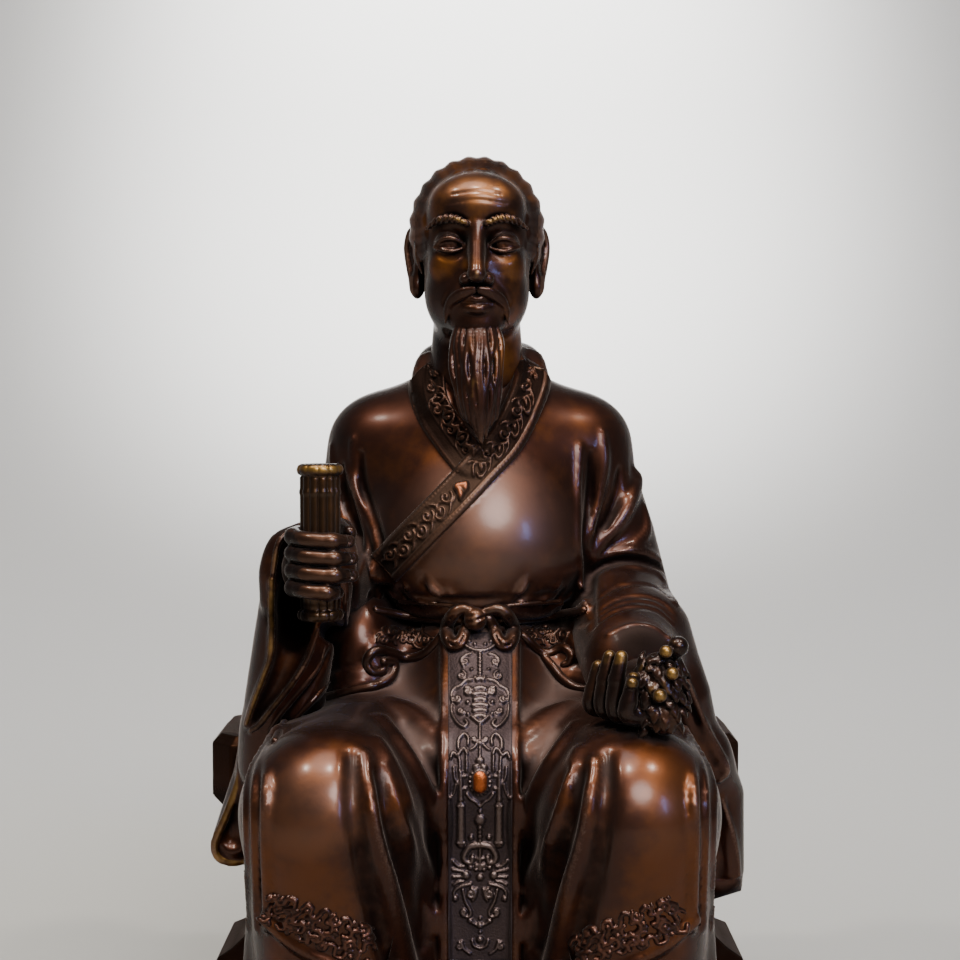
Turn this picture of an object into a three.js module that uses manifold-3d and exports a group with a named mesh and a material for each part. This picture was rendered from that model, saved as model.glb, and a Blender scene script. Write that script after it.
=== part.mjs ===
// A seated medicine god in patinated cast bronze: an elderly sage on a cut-stone seat, who holds a
// bamboo scroll in one fist and a bunch of herbs on the other palm.
// Millimetres, +Z up. The figure faces -Y, and the origin is under the middle of the base.
import * as THREE from "three";
import { edgeTable, triTable } from "three/addons/objects/MarchingCubes.js";
import { mergeVertices } from "three/addons/utils/BufferGeometryUtils.js";
import Module from "manifold-3d";

// Driving sizes
const CROWN = 286; // top of the skull above the table, which the hair rises over
const HEAD_HEIGHT = 57; // chin to crown
const HEAD_X = -1;
const BASE_TOP = 17;
const SEAT_TOP = 100.5;
const SEAT_HALF_WIDTH = 86;
const SHOULDER = [33, 4, 194];
const KNEE = [43, -66, 91];
const KNEE_RADIUS = 25;
const FIST = [-48, -50, 161.5];
const SCROLL = { x: -47, y: -51.5, low: 145, high: 191.5, radius: 6 };
const PALM = [46, -64, 123];
const SIDES = [-1, 1]; // the viewer's left, where the scroll is, and the viewer's right
const BODY_CELL = 1.9;
const HEAD_CELL = 1.1;
const HAND_CELL = 1.1;
const EYE = [0, -580, 210]; // a viewer in front of the figure
const SHEET_Y = -40; // places on the front are given on a sheet here, as that viewer sees them
const ORIGIN = [0, 22, 0]; // moves the middle of the base to the origin

// Small sums with points
const plus = (a, b) => a.map((v, i) => v + b[i]);
const minus = (a, b) => a.map((v, i) => v - b[i]);
const times = (a, s) => a.map((v) => v * s);
const mix = (a, b, t) => a.map((v, i) => v + (b[i] - v) * t);
const dot = (a, b) => a[0] * b[0] + a[1] * b[1] + a[2] * b[2];
const onSide = (side, [x, y, z]) => [side * x, y, z];
const smooth = (t) => t * t * (3 - 2 * t);
const clamp01 = (t) => Math.min(1, Math.max(0, t));

// Shapes. Each has the box around it and the distance of a point from its surface, negative inside.
const boxAround = (points, reach) => ({
  low: [0, 1, 2].map((i) => Math.min(...points.map((p) => p[i])) - reach),
  high: [0, 1, 2].map((i) => Math.max(...points.map((p) => p[i])) + reach),
});

// An ellipsoid with its three radii along the axes.
function ball(centre, radii) {
  const [a, b, c] = radii;
  const distance = (x, y, z) => {
    const u = x - centre[0], v = y - centre[1], w = z - centre[2];
    const near = Math.hypot(u / a, v / b, w / c);
    const slope = Math.hypot(u / (a * a), v / (b * b), w / (c * c));
    return slope < 1e-9 ? -Math.min(a, b, c) : (near * (near - 1)) / slope;
  };
  return { low: minus(centre, radii), high: plus(centre, radii), distance };
}

// A chain of tapered capsules through the points, with one radius for each point.
function chain(points, radii) {
  const spans = points.slice(1).map((end, i) => {
    const start = points[i], run = minus(end, start);
    return { start, run, length2: dot(run, run) || 1e-9, from: radii[i], grow: radii[i + 1] - radii[i] };
  });
  const distance = (x, y, z) => {
    let best = Infinity;
    for (const { start, run, length2, from, grow } of spans) {
      const u = x - start[0], v = y - start[1], w = z - start[2];
      const t = clamp01((u * run[0] + v * run[1] + w * run[2]) / length2);
      const away = Math.hypot(u - run[0] * t, v - run[1] * t, w - run[2] * t) - from - grow * t;
      if (away < best) best = away;
    }
    return best;
  };
  return { ...boxAround(points, Math.max(...radii)), distance };
}
const limb = (a, b, ra, rb) => chain([a, b], [ra, rb]);

// A smooth chain along a curve through the points, with a radius at both ends and one at half length.
function cord(points, first, last = first, middle = (first + last) / 2) {
  const curve = new THREE.CatmullRomCurve3(points.map((p) => new THREE.Vector3(...p)));
  const steps = (points.length - 1) * 4;
  const along = Array.from({ length: steps + 1 }, (_, i) => i / steps);
  const pull = 2 * middle - (first + last) / 2;
  const width = (t) => (1 - t) ** 2 * first + t ** 2 * last + 2 * t * (1 - t) * pull;
  return chain(along.map((t) => curve.getPoint(t).toArray()), along.map(width));
}

// A box with rounded edges.
function block(centre, half, round) {
  const distance = (x, y, z) => {
    const u = Math.abs(x - centre[0]) - half[0] + round;
    const v = Math.abs(y - centre[1]) - half[1] + round;
    const w = Math.abs(z - centre[2]) - half[2] + round;
    const outside = Math.hypot(Math.max(u, 0), Math.max(v, 0), Math.max(w, 0));
    return outside + Math.min(Math.max(u, v, w), 0) - round;
  };
  return { low: minus(centre, half), high: plus(centre, half), distance };
}

// A shape made thinner (share under 1) or thicker along a direction, about a point.
function squashed(shape, about, direction, share) {
  const n = times(direction, 1 / Math.hypot(...direction));
  const distance = (x, y, z) => {
    const k = (dot(minus([x, y, z], about), n)) * (1 / share - 1);
    return shape.distance(x + n[0] * k, y + n[1] * k, z + n[2] * k) * Math.min(1, share + 0.25);
  };
  return { low: shape.low, high: shape.high, distance };
}

// A block of cells that holds the distance to the clay's surface, which shapes are added to or cut from.
class Clay {
  constructor(low, high, cell) {
    this.low = low;
    this.cell = cell;
    this.size = [0, 1, 2].map((i) => Math.ceil((high[i] - low[i]) / cell) + 1);
    this.values = new Float32Array(this.size[0] * this.size[1] * this.size[2]).fill(99);
  }
  change(shape, margin, rule) {
    const [nx, ny, nz] = this.size;
    const from = this.low.map((v, i) => Math.max(0, Math.floor((shape.low[i] - margin - v) / this.cell)));
    const last = (v, i) => Math.ceil((shape.high[i] + margin - v) / this.cell);
    const to = this.low.map((v, i) => Math.min(this.size[i] - 1, last(v, i)));
    for (let k = from[2]; k <= to[2]; k++)
      for (let j = from[1]; j <= to[1]; j++)
        for (let i = from[0]; i <= to[0]; i++) {
          const at = i + nx * (j + ny * k);
          const away = shape.distance(
            this.low[0] + i * this.cell, this.low[1] + j * this.cell, this.low[2] + k * this.cell);
          this.values[at] = rule(this.values[at], away);
        }
    return this;
  }
  add(shape, blend = 2) {
    const rule = (held, away) => {
      const h = Math.max(blend - Math.abs(held - away), 0) / blend;
      return Math.min(held, away) - (h * h * blend) / 4;
    };
    return this.change(shape, blend + 2 * this.cell, rule);
  }
  cut(shape, blend = 1) {
    const rule = (held, away) => {
      const h = Math.max(blend - Math.abs(held + away), 0) / blend;
      return Math.max(held, -away) + (h * h * blend) / 4;
    };
    return this.change(shape, blend + 2 * this.cell, rule);
  }
  at([x, y, z]) {
    const [nx, ny] = this.size;
    const cells = (v, i) => Math.max(0, (v - this.low[i]) / this.cell);
    const g = [x, y, z].map((v, i) => Math.min(this.size[i] - 1.001, cells(v, i)));
    const [i, j, k] = g.map(Math.floor);
    const [u, v, w] = [g[0] - i, g[1] - j, g[2] - k];
    const value = (a, b, c) => this.values[i + a + nx * (j + b + ny * (k + c))];
    const row = (b, c) => value(0, b, c) * (1 - u) + value(1, b, c) * u;
    const sheet = (c) => row(0, c) * (1 - v) + row(1, c) * v;
    return sheet(0) * (1 - w) + sheet(1) * w;
  }
  // The point of the surface that the viewer sees through a place of the sheet, moved deeper by a sink.
  // A place just outside the outline is taken inwards until it meets the figure.
  seen([x, z], sink = 0) {
    const point = (y) => mix(EYE, [x, SHEET_Y, z], (y - EYE[1]) / (SHEET_Y - EYE[1]));
    let y = this.low[1];
    while (y < 0 && this.at(point(y)) > 0) y += this.cell / 2;
    return y < 0 ? point(y - this.cell / 4 + sink) : this.seen([x * 0.98, z], sink);
  }
  // A ridge of cloth, or a groove between ridges, along places of the sheet.
  ridge(places, first, last = first, blend = 2.5) {
    return this.add(cord(places.map((p) => this.seen(p, first * 0.35)), first, last), blend);
  }
  groove(places, first, last = first, blend = 2.5) {
    return this.cut(cord(places.map((p) => this.seen(p, -first * 0.35)), first, last), blend);
  }
  // A flat band that stands proud of the cloth along places of the sheet.
  band(places, width, height, edge = 1) {
    return this.press(cord(places.map((p) => this.seen(p)), width / 2), height, edge);
  }
  // Raises the surface inside the shape by a height, or sinks it by a negative one, over a soft edge.
  press(shape, height, edge) {
    return this.change(shape, 0, (held, away) => held - height * smooth(clamp01(-away / edge)));
  }
}

// Marching cubes over the clay, with one vertex for each cell edge that the surface crosses.
function skin(clay) {
  const [nx, ny, nz] = clay.size;
  const corners = [[0, 0, 0], [1, 0, 0], [1, 1, 0], [0, 1, 0], [0, 0, 1], [1, 0, 1], [1, 1, 1], [0, 1, 1]];
  const rings = [[0, 1], [1, 2], [2, 3], [3, 0], [4, 5], [5, 6], [6, 7], [7, 4]];
  const ends = [...rings, [0, 4], [1, 5], [2, 6], [3, 7]];
  const rim = (i, n) => i === 0 || i === n - 1;
  const value = (i, j, k) =>
    rim(i, nx) || rim(j, ny) || rim(k, nz) ? clay.cell : clay.values[i + nx * (j + ny * k)];
  const points = [], faces = [], known = new Map();
  const crossing = (i, j, k, edge) => {
    const [a, b] = ends[edge].map((c) => plus([i, j, k], corners[c]));
    const keys = [a, b].map(([u, v, w]) => u + nx * (v + ny * w));
    const key = Math.min(...keys) * 3 + (a[0] !== b[0] ? 0 : a[1] !== b[1] ? 1 : 2);
    if (!known.has(key)) {
      const [p, q] = keys[0] < keys[1] ? [a, b] : [b, a];
      const share = value(...p) / (value(...p) - value(...q));
      const at = mix(p, q, Math.min(0.96, Math.max(0.04, share)));
      known.set(key, points.push(plus(clay.low, times(at, clay.cell))) - 1);
    }
    return known.get(key);
  };
  for (let k = 0; k < nz - 1; k++)
    for (let j = 0; j < ny - 1; j++)
      for (let i = 0; i < nx - 1; i++) {
        let inside = 0;
        corners.forEach(([a, b, c], bit) => {
          if (value(i + a, j + b, k + c) < 0) inside |= 1 << bit;
        });
        if (edgeTable[inside] === 0) continue;
        for (let at = inside * 16; triTable[at] >= 0; at += 3)
          faces.push([0, 2, 1].map((n) => crossing(i, j, k, triTable[at + n])));
      }
  return { points, faces };
}

// Collapses the edge that changes the form least, over and over, until the wanted number of faces is left.
// A point's ten sums give how far any place lies from the planes of the faces that met in it.
function simplified({ points, faces }, wanted) {
  const around = points.map(() => new Set());
  faces.forEach((face, f) => face.forEach((p) => around[p].add(f)));
  const normal = ([a, b, c]) => {
    const [u, v] = [minus(b, a), minus(c, a)];
    return [u[1] * v[2] - u[2] * v[1], u[2] * v[0] - u[0] * v[2], u[0] * v[1] - u[1] * v[0]];
  };
  const sums = points.map(() => new Float64Array(10));
  for (const face of faces) {
    const n = normal(face.map((p) => points[p])), size = Math.hypot(...n);
    const [a, b, c] = times(n, 1 / size), d = -dot([a, b, c], points[face[0]]);
    const plane = [a * a, a * b, a * c, a * d, b * b, b * c, b * d, c * c, c * d, d * d];
    for (const p of face) plane.forEach((v, i) => (sums[p][i] += (v * size) / 6));
  }
  const error = (q, [x, y, z]) =>
    q[0] * x * x + q[4] * y * y + q[7] * z * z + q[9] +
    2 * (q[1] * x * y + q[2] * x * z + q[3] * x + q[5] * y * z + q[6] * y + q[8] * z);
  const bestPlace = (q, a, b) => {
    const ridge = 1e-3, middle = mix(a, b, 0.5);
    const m = [q[0] + ridge, q[1], q[2], q[1], q[4] + ridge, q[5], q[2], q[5], q[7] + ridge];
    const matrix = new THREE.Matrix3().set(...m).invert();
    const right = [3, 6, 8].map((i, row) => -q[i] + ridge * middle[row]);
    const place = new THREE.Vector3(...right).applyMatrix3(matrix).toArray();
    const far = Math.hypot(...minus(place, middle)) > Math.hypot(...minus(a, b));
    return far || place.some(Number.isNaN) ? middle : place;
  };
  const heap = [];
  const version = new Int32Array(points.length);
  const swap = (i, j) => ([heap[i], heap[j]] = [heap[j], heap[i]]);
  const push = (entry) => {
    let i = heap.push(entry) - 1;
    for (let up = (i - 1) >> 1; i > 0 && heap[i].cost < heap[up].cost; i = up, up = (i - 1) >> 1) swap(i, up);
  };
  const pop = () => {
    const top = heap[0], end = heap.pop();
    if (heap.length) heap[0] = end;
    for (let i = 0, child = 1; child < heap.length; i = child, child = 2 * i + 1) {
      if (child + 1 < heap.length && heap[child + 1].cost < heap[child].cost) child++;
      if (heap[i].cost <= heap[child].cost) break;
      swap(i, child);
    }
    return top;
  };
  const neighbours = (p) => {
    const found = new Set();
    for (const f of around[p]) for (const q of faces[f]) if (q !== p) found.add(q);
    return found;
  };
  const offer = (a, b) => {
    const sum = sums[a].map((v, i) => v + sums[b][i]);
    const place = bestPlace(sum, points[a], points[b]);
    const length = Math.hypot(...minus(points[a], points[b]));
    push({ cost: error(sum, place) + 2e-4 * length ** 3, a, b, place, stamp: version[a] + version[b] });
  };
  const spoils = (p, gone, place) => {
    for (const f of around[p]) {
      if (faces[f].includes(gone)) continue;
      const before = faces[f].map((q) => points[q]);
      const after = faces[f].map((q, i) => (q === p ? place : before[i]));
      const [n, m] = [normal(before), normal(after)];
      const longest = Math.max(...[0, 1, 2].map((i) => Math.hypot(...minus(after[i], after[(i + 1) % 3]))));
      if (dot(n, m) < 0.25 * Math.hypot(...n) * Math.hypot(...m)) return true;
      if (Math.hypot(...m) < 0.06 * longest * longest) return true;
    }
    return false;
  };
  points.forEach((_, p) => neighbours(p).forEach((q) => p < q && offer(p, q)));
  let left = faces.length;
  while (left > wanted && heap.length) {
    const { a, b, place, stamp } = pop();
    if (!around[a].size || !around[b].size || stamp !== version[a] + version[b]) continue;
    const [near, far] = [neighbours(a), neighbours(b)];
    if (!near.has(b) || [...near].filter((p) => far.has(p)).length !== 2) continue;
    if (spoils(a, b, place) || spoils(b, a, place)) continue;
    for (const f of around[b]) {
      if (faces[f].includes(a)) {
        faces[f].forEach((p) => around[p].delete(f));
        faces[f] = null;
        left--;
      } else {
        faces[f] = faces[f].map((p) => (p === b ? a : p));
        around[a].add(f);
      }
    }
    around[b].clear();
    points[a] = place;
    sums[b].forEach((v, i) => (sums[a][i] += v));
    version[a] += points.length;
    for (const q of neighbours(a)) offer(a, q);
  }
  return { points, faces: faces.filter(Boolean) };
}

// Trunk, arms and legs under the robe
function trunk(clay) {
  clay.add(ball([0, 4, 182], [38, 31, 40]), 8);
  clay.add(ball([0, -6, 160], [35, 31, 25]), 12);
  clay.add(limb([0, 2, 205], [0, -2, 228], 22, 12), 10);
  clay.add(ball([0, 12, 148], [43, 25, 40]), 10);
  clay.add(ball([0, 8, 112], [50, 38, 30]), 14);
  for (const side of SIDES) {
    clay.add(ball([side * 32, 4, 196], [16, 15.5, 15.5]), 14);
    clay.add(ball([side * 38, -6, 130], [15, 24, 24]), 10);
  }
  for (let x = -36; x <= 36; x += 12)
    clay.add(chain([[x * 0.9, 22, 152], [x * 1.1, 43, 108], [x * 1.25, 50, 66]], [11, 9, 7]), 6);
  clay.add(ball([0, 8, 108], [66, 36, 12]), 8);
}
function arms(clay) {
  const raised = [onSide(-1, SHOULDER), [-39, 6, 172], [-43, 4, 150], [-49, -32, 156]];
  const resting = [SHOULDER, [40.5, 6, 165], [44, 4, 145], [45.5, -40, 131]];
  clay.add(chain(raised, [14.5, 16, 17, 12]), 6);
  clay.add(chain(resting, [14.5, 16.5, 18, 15]), 6);
}
function legs(clay) {
  const [x, y, z] = KNEE;
  for (const side of SIDES) {
    clay.add(limb([side * 25, 0, 100], onSide(side, KNEE), 23, KNEE_RADIUS), 10);
    clay.add(limb(onSide(side, KNEE), [side * (x - 1), y + 8, 40], KNEE_RADIUS, 23.5), 6);
    clay.add(limb([side * 36, y + 12, 45], [side * 35, y + 14, BASE_TOP + 4], 21, 22), 6);
    clay.add(block([side * 54, -22, 66], [9, 30, 46], 8), 8);
    for (let pleat = 0; pleat < 6; pleat++) {
      const [top, foot] = [-46 + pleat * 9, -54 + pleat * 13];
      const out = 2 * Math.sin(pleat * 2.1);
      const hang = [[side * 55, top, 104], [side * 60, (top + foot) / 2, 76], [side * (65 + out), foot, 26]];
      clay.add(chain(hang, [7, 8, 6.5]), 5);
    }
  }
  clay.add(limb([0, -14, 126], [0, -44, 100], 19, 17), 12);
  clay.add(block([0, -30, 62], [34, 28, 45], 8), 10);
}

// The wide sleeve of the raised arm hangs open from the wrist, and its corner falls over the seat.
function hangingSleeve(clay) {
  const front = [[-51, -34, 155], [-55, -30, 136], [-59.5, -26, 116], [-64, -22, 96]];
  clay.add(chain(front, [12, 12.5, 12.5, 11]), 8);
  clay.add(chain([[-46, -4, 140], [-55, -2, 120], [-68, 0, 102]], [12, 12, 9]), 10);
  clay.add(chain([[-66, -20, 106], [-74.5, -8, 88], [-79.5, -6, 72]], [9, 8.5, 8]), 7);
  clay.cut(chain([[-50, -52, 146], [-54, -50, 132], [-60, -46, 120]], [8, 8.5, 5]), 4);
  clay.cut(cord([[-80, -17, 92], [-81, -16, 80], [-80, -14, 70]], 2, 3.6), 2);
  const rim = [[-62.5, 156], [-61.5, 145], [-61, 134], [-62.5, 127], [-65, 121], [-68, 111], [-73, 95]];
  clay.ridge(rim, 1.7, 1.9, 2);
  clay.ridge([[-48.5, 139.5], [-54, 129], [-60, 120.5]], 1.4, 1.8, 3);
  clay.ridge([[-45, 136], [-52, 126.5], [-58, 119]], 1.6, 1.8, 3);
}

// The other sleeve wraps the forearm in rings, and its corner falls beside the knee.
function wrappedSleeve(clay) {
  clay.add(chain([[55, -24, 138], [62, -22, 118], [69, -16, 96]], [10, 10, 8]), 8);
  clay.add(chain([[48, -4, 132], [57, -2, 114], [69, 2, 102]], [12, 12, 9]), 10);
  clay.add(chain([[71, -16, 98], [76, -8, 84], [75, -6, 60]], [8, 8.5, 10]), 7);
  for (let turn = 0; turn < 4; turn++) {
    const z = 160 - turn * 5.6;
    clay.groove([[33.5, z - 4], [40, z + 1.5], [50, z + 2], [58, z - 5]], 1, 1.3, 2);
  }
  clay.cut(ball([46, -64, 138], [10, 9, 7]), 3);
  clay.ridge([[57, 136], [62, 123], [68, 104], [71, 92]], 1.6, 2, 3);
}

// Folds: each row is a curve on the sheet, with its thickness at both ends.
function folds(clay) {
  const ridges = [
    [[[32, 187], [33, 170], [37, 152]], 1.4, 2.4],
    [[[41, 181], [36, 170], [34, 158]], 1.6, 2],
    [[[50, 178], [45, 168], [41, 156]], 2, 1.4],
    [[[28, 202], [31, 192], [31, 178]], 1.4, 2],
    [[[-30, 200], [-31, 180], [-31, 160]], 1.6, 2],
    [[[-38, 204], [-35.5, 188], [-33, 170], [-31, 152]], 1.8, 1.8],
    [[[-45, 196], [-44, 178], [-43, 160]], 1.6, 2],
    [[[-28.5, 119], [-20, 112], [-12, 106.5]], 3, 1.6],
    [[[28.5, 119], [20, 112], [12, 106.5]], 3, 1.6],
    [[[-39, 93], [-37, 78], [-34.5, 54]], 2, 3],
    [[[-30, 102], [-24, 76], [-15, 48]], 2, 3.4],
    [[[39, 93], [37, 78], [36, 54]], 2, 3],
    [[[30, 102], [24, 76], [15, 48]], 2, 3.4],
  ];
  const grooves = [
    [[[-34.5, 98], [-30, 78], [-25, 50]], 2, 3.4],
    [[[-22, 104], [-17, 76], [-13.5, 50]], 1.6, 2.6],
    [[[34.5, 98], [31, 78], [27, 50]], 2, 3.4],
    [[[22, 104], [17, 76], [13.5, 50]], 1.6, 2.6],
    [[[34, 196], [34.5, 176], [39, 156]], 1.6, 2],
    [[[-34, 196], [-33.5, 178], [-31.5, 156]], 1.4, 2],
  ];
  for (const [places, first, last] of ridges) clay.ridge(places, first, last, 4);
  for (const [places, first, last] of grooves) clay.groove(places, first, last, 4);
  for (const side of SIDES)
    for (const x of [61, 65, 69]) {
      const edge = [[side * x, 104], [side * (x + 0.5), 84], [side * x, 58]];
      clay.ridge(edge, 1.5, 2, 2);
    }
}

// The crossed collar, the belt with its bow, the two coat flaps below it and the long apron
function collar(clay) {
  for (const side of SIDES) {
    const back = [[0, 13, 221], [side * 11, 9, 221.5], [side * 15.5, 0, 220]];
    const round = [...back, [side * 15, -10, 214], [side * 12, -19, 205]];
    clay.add(cord(round, 3.6, 2.4, 3.4), 4);
  }
  clay.band([[-18, 223], [-16.5, 212], [-12, 204], [-6, 196], [-2, 191]], 9, 1.4);
  clay.band([[16.2, 224], [16, 218], [12, 206.5], [8, 199], [0, 190], [-12, 178], [-31, 158.5]], 11, 1.8);
}
function belt(clay) {
  const line = [[-30, 147.5], [-15, 145], [0, 144], [15, 145.5], [32, 148]];
  clay.groove(line.map(([x, z]) => [x, z + 4]), 1.2, 1.2, 3);
  clay.ridge(line, 2.3, 2.3, 1.5);
  clay.groove(line, 0.5, 0.5, 0.6);
  const knot = clay.seen([0, 144], 0);
  clay.add(ball(knot, [3, 3.4, 3.2]), 1);
  for (const side of SIDES) {
    const loop = [[1, 145], [5, 147.5], [9, 144], [8.5, 139], [5.5, 137]].map(([x, z]) => [side * x, z]);
    clay.ridge(loop, 1.8, 2.4, 1.2);
    for (let fold = 0; fold < 4; fold++) {
      const x = side * (6 + fold * 7);
      clay.ridge([[x, 147], [x + side * 0.8, 151], [x + side * 2.4, 156]], 1.3, 0.6, 2.5);
    }
  }
}
function coatFlaps(clay) {
  const left = [[-10, 140], [-13, 138], [-16.5, 135], [-22, 133], [-27.5, 133.5], [-32, 134], [-34, 131.5],
    [-33.5, 129], [-31, 127.5], [-31.5, 125.5], [-36, 122.5], [-45, 119.5], [-55, 116], [-61, 111]];
  const right = [[11, 140], [15, 136.5], [19, 134.5], [24, 135], [27.5, 132.5], [27.5, 130], [25, 129],
    [22, 130], [24, 126.5], [29, 123.5], [35, 123]];
  for (const edge of [left, right]) clay.ridge(edge, 1.7, 1.5, 1.6);
}
function apron(clay) {
  const drop = [[0, 138], [0, 122], [0, 104], [0, 80], [0, 56], [0, 44]];
  clay.band(drop, 24, 1.6, 1.2);
  for (const x of [-10.8, 10.8]) clay.ridge(drop.map(([, z]) => [x, z]), 1.1, 1.1, 1);
  const charms = [[0, 135, 5], [0, 120, 7], [0, 103, 5.5], [0, 94, 4], [0, 70, 6], [0, 56, 6]];
  for (const [x, z, radius] of charms) {
    const middle = clay.seen([x, z]);
    clay.press(ball(middle, [radius, radius, radius * 0.8]), 1, 0.8);
  }
}

// The hem with its carved border, the pleated skirt below it and the toes of two cloth shoes
function hem(clay) {
  for (const side of SIDES) {
    const edge = [[62, 54], [52, 45], [40, 38.5], [26, 35], [13, 34]].map(([x, z]) => [side * x, z]);
    clay.ridge(edge, 2.2, 2.4, 1.5);
    clay.band([[60, 57], [48, 51], [36, 46], [27, 44]].map(([x, z]) => [side * x, z]), 9, 1.2, 1.5);
    clay.add(ball([side * 35, -84, BASE_TOP + 5], [11.5, 18, 9.5]), 2);
    for (let pleat = 0; pleat < 7; pleat++) {
      const x = side * (14 + pleat * 7.5);
      clay.groove([[x, 33], [x + side * 0.5, 26], [x + side, 18]], 1.1, 1.5, 1.5);
    }
  }
}

// Head. Places are from its middle, 28.5 mm under the crown, in units of the head's own canon: the eyes
// are at half height, the brow, the foot of the nose and the chin are a third of the face apart.
const onHead = (x, y, z) => [HEAD_X + x, -10 + y, CROWN - HEAD_HEIGHT / 2 + z];
const SKULL = { centre: onHead(0, 1, 6), radii: [18.6, 23, 21.5] };

function skull(clay) {
  clay.add(ball(SKULL.centre, SKULL.radii), 2);
  clay.add(ball(onHead(0, -6, -9), [15.6, 17, 19.5]), 6);
  clay.add(limb(onHead(0, 6, -14), onHead(0, 9, -40), 12.5, 12), 5);
  clay.add(limb(onHead(0, -2, -22), onHead(0, 5, -40), 8, 11), 5);
  clay.add(ball(onHead(0, -18, -24.5), [6.5, 6, 4.6]), 4);
}
function face(clay) {
  for (const side of SIDES) {
    clay.add(ball(onHead(side * 11.2, -14.5, -6), [6, 6, 6]), 5);
    clay.cut(ball(onHead(side * 8.4, -26, 0), [6.2, 6, 4]), 3);
    clay.add(ball(onHead(side * 8.2, -17.6, 0), [4.8, 4.4, 3.8]), 1);
    const along = (places) => places.map(([x, y, z]) => onHead(side * x, y, z));
    const upperLid = along([[3.6, -21.4, -0.6], [8.2, -22.6, 2.3], [12.8, -18.8, -0.4]]);
    const lowerLid = along([[3.6, -21.4, -0.8], [8.2, -22, -2.2], [12.8, -18.8, -0.6]]);
    const brow = along([[3.4, -23.6, 6.2], [8.5, -23.4, 7.2], [14, -18.6, 4.8]]);
    const moustache = along([[1, -26.2, -13.6], [5.4, -24.4, -15], [9, -20.5, -19.5], [10, -18.5, -23.5]]);
    const ear = along([[18, 1, 4.5], [20.8, 3, 6], [22, 5, 1], [20, 3, -7.5], [18, 0.4, -13]]);
    clay.add(cord(upperLid, 0.7, 0.7, 1), 0.8);
    clay.add(cord(lowerLid, 0.5, 0.5, 0.8), 0.8);
    clay.add(cord(brow, 1.3, 1, 1.8), 1.5);
    clay.add(ball(onHead(side * 3.5, -24, -11), [2.3, 2.8, 2.1]), 1);
    clay.add(cord(moustache, 1, 0.6, 1.9), 1);
    clay.add(cord(ear, 1.5, 2, 1.8), 1.5);
    clay.add(ball(onHead(side * 18.6, 2, -3), [1.8, 4, 7.5]), 2);
  }
  clay.add(limb(onHead(0, -21.2, 5), onHead(0, -27, -9.6), 2.2, 2.9), 3);
  clay.add(ball(onHead(0, -17.5, -17), [9.5, 6.6, 7]), 4);
  const upperLip = [onHead(-6.2, -21.6, -17.6), onHead(0, -24.4, -16.6), onHead(6.2, -21.6, -17.6)];
  const lowerLip = [onHead(-5.6, -21.4, -18.6), onHead(0, -23.9, -20), onHead(5.6, -21.4, -18.6)];
  const between = [onHead(-6.4, -23.2, -17.9), onHead(0, -25.6, -18), onHead(6.4, -23.2, -17.9)];
  clay.add(cord(upperLip, 0.6, 0.6, 1.5), 0.8);
  clay.add(cord(lowerLip, 0.6, 0.6, 1.9), 0.8);
  clay.cut(cord(between, 0.4, 0.4, 0.6), 0.6);
}

// Locks of hair run from an arch behind the bald forehead to a low knot at the back.
function hair(clay) {
  const { centre, radii } = SKULL;
  const onSkull = (turn, forward, lift) => {
    const share = Math.sqrt(1 - (forward / radii[1]) ** 2);
    const across = Math.sin(turn) * share * (radii[0] + lift);
    const up = Math.cos(turn) * share * (radii[2] + lift);
    return plus(centre, [across, forward * (1 + lift / 40), up]);
  };
  const knot = plus(centre, [0, 22.5, -4]);
  const locks = 17;
  for (let n = 0; n < locks; n++) {
    const turn = THREE.MathUtils.degToRad(-108 + (216 * n) / (locks - 1));
    const sway = n % 2 ? 1.1 : 0;
    const path = [onSkull(turn, -11 - sway, -1.2), onSkull(turn, -2, -1), onSkull(turn * 0.97, 9, -0.6),
      onSkull(turn * 0.85, 17, -0.2), mix(onSkull(turn * 0.7, 21, 0), knot, 0.4)];
    clay.add(cord(path, 1.4, 2, 3), 1);
  }
  clay.add(ball(knot, [7, 4.5, 6]), 1.5);
}
function beard(clay) {
  const strands = 8;
  for (let n = 0; n < strands; n++) {
    const side = (n / (strands - 1)) * 2 - 1;
    const wave = Math.sin(n * 2.4) * 0.9;
    const back = side * side * 2;
    const upperHalf = [onHead(side * 5.6, -21, -24), onHead(side * 6.6 + wave, -24.5 + back, -33)];
    const tip = onHead(side * 1.4 + 1.2, -24.5, -57 + side * side * 5);
    clay.add(cord([...upperHalf, onHead(side * 4.4 - wave, -25.5 + back, -44), tip], 2, 1.2, 3), 0.7);
  }
  clay.add(cord([onHead(0, -16, -27), onHead(0, -17, -40), onHead(0.8, -19, -52)], 5, 2.5), 1.5);
}

// The fist that closes round the bamboo scroll, with four fingers one above the other
function fist(clay) {
  const [x, y, z] = FIST;
  clay.add(ball([x - 5, y + 4, z], [6.5, 9, 10.5]), 3);
  clay.add(limb([x - 3, y + 6, z - 2], [x - 1, y + 22, z - 5], 8, 9), 4);
  for (let n = 0; n < 4; n++) {
    const up = z + 8.2 - n * 5;
    const short = n === 3 ? 1.5 : 0;
    const path = [[x - 8.5, y + 3, up], [x - 9, y - 5, up], [x - 2.5, y - 11.2, up - 0.3],
      [x + 7 - short, y - 10.2, up - 0.6], [x + 11 - short, y - 5, up - 0.8]];
    clay.add(cord(path, 2.9, 2.2, 3.1), 0.7);
  }
  clay.add(cord([[x - 1, y + 7, z + 9], [x + 6, y + 6, z + 11], [x + 9, y, z + 9]], 3, 2.4), 1);
}

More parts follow.
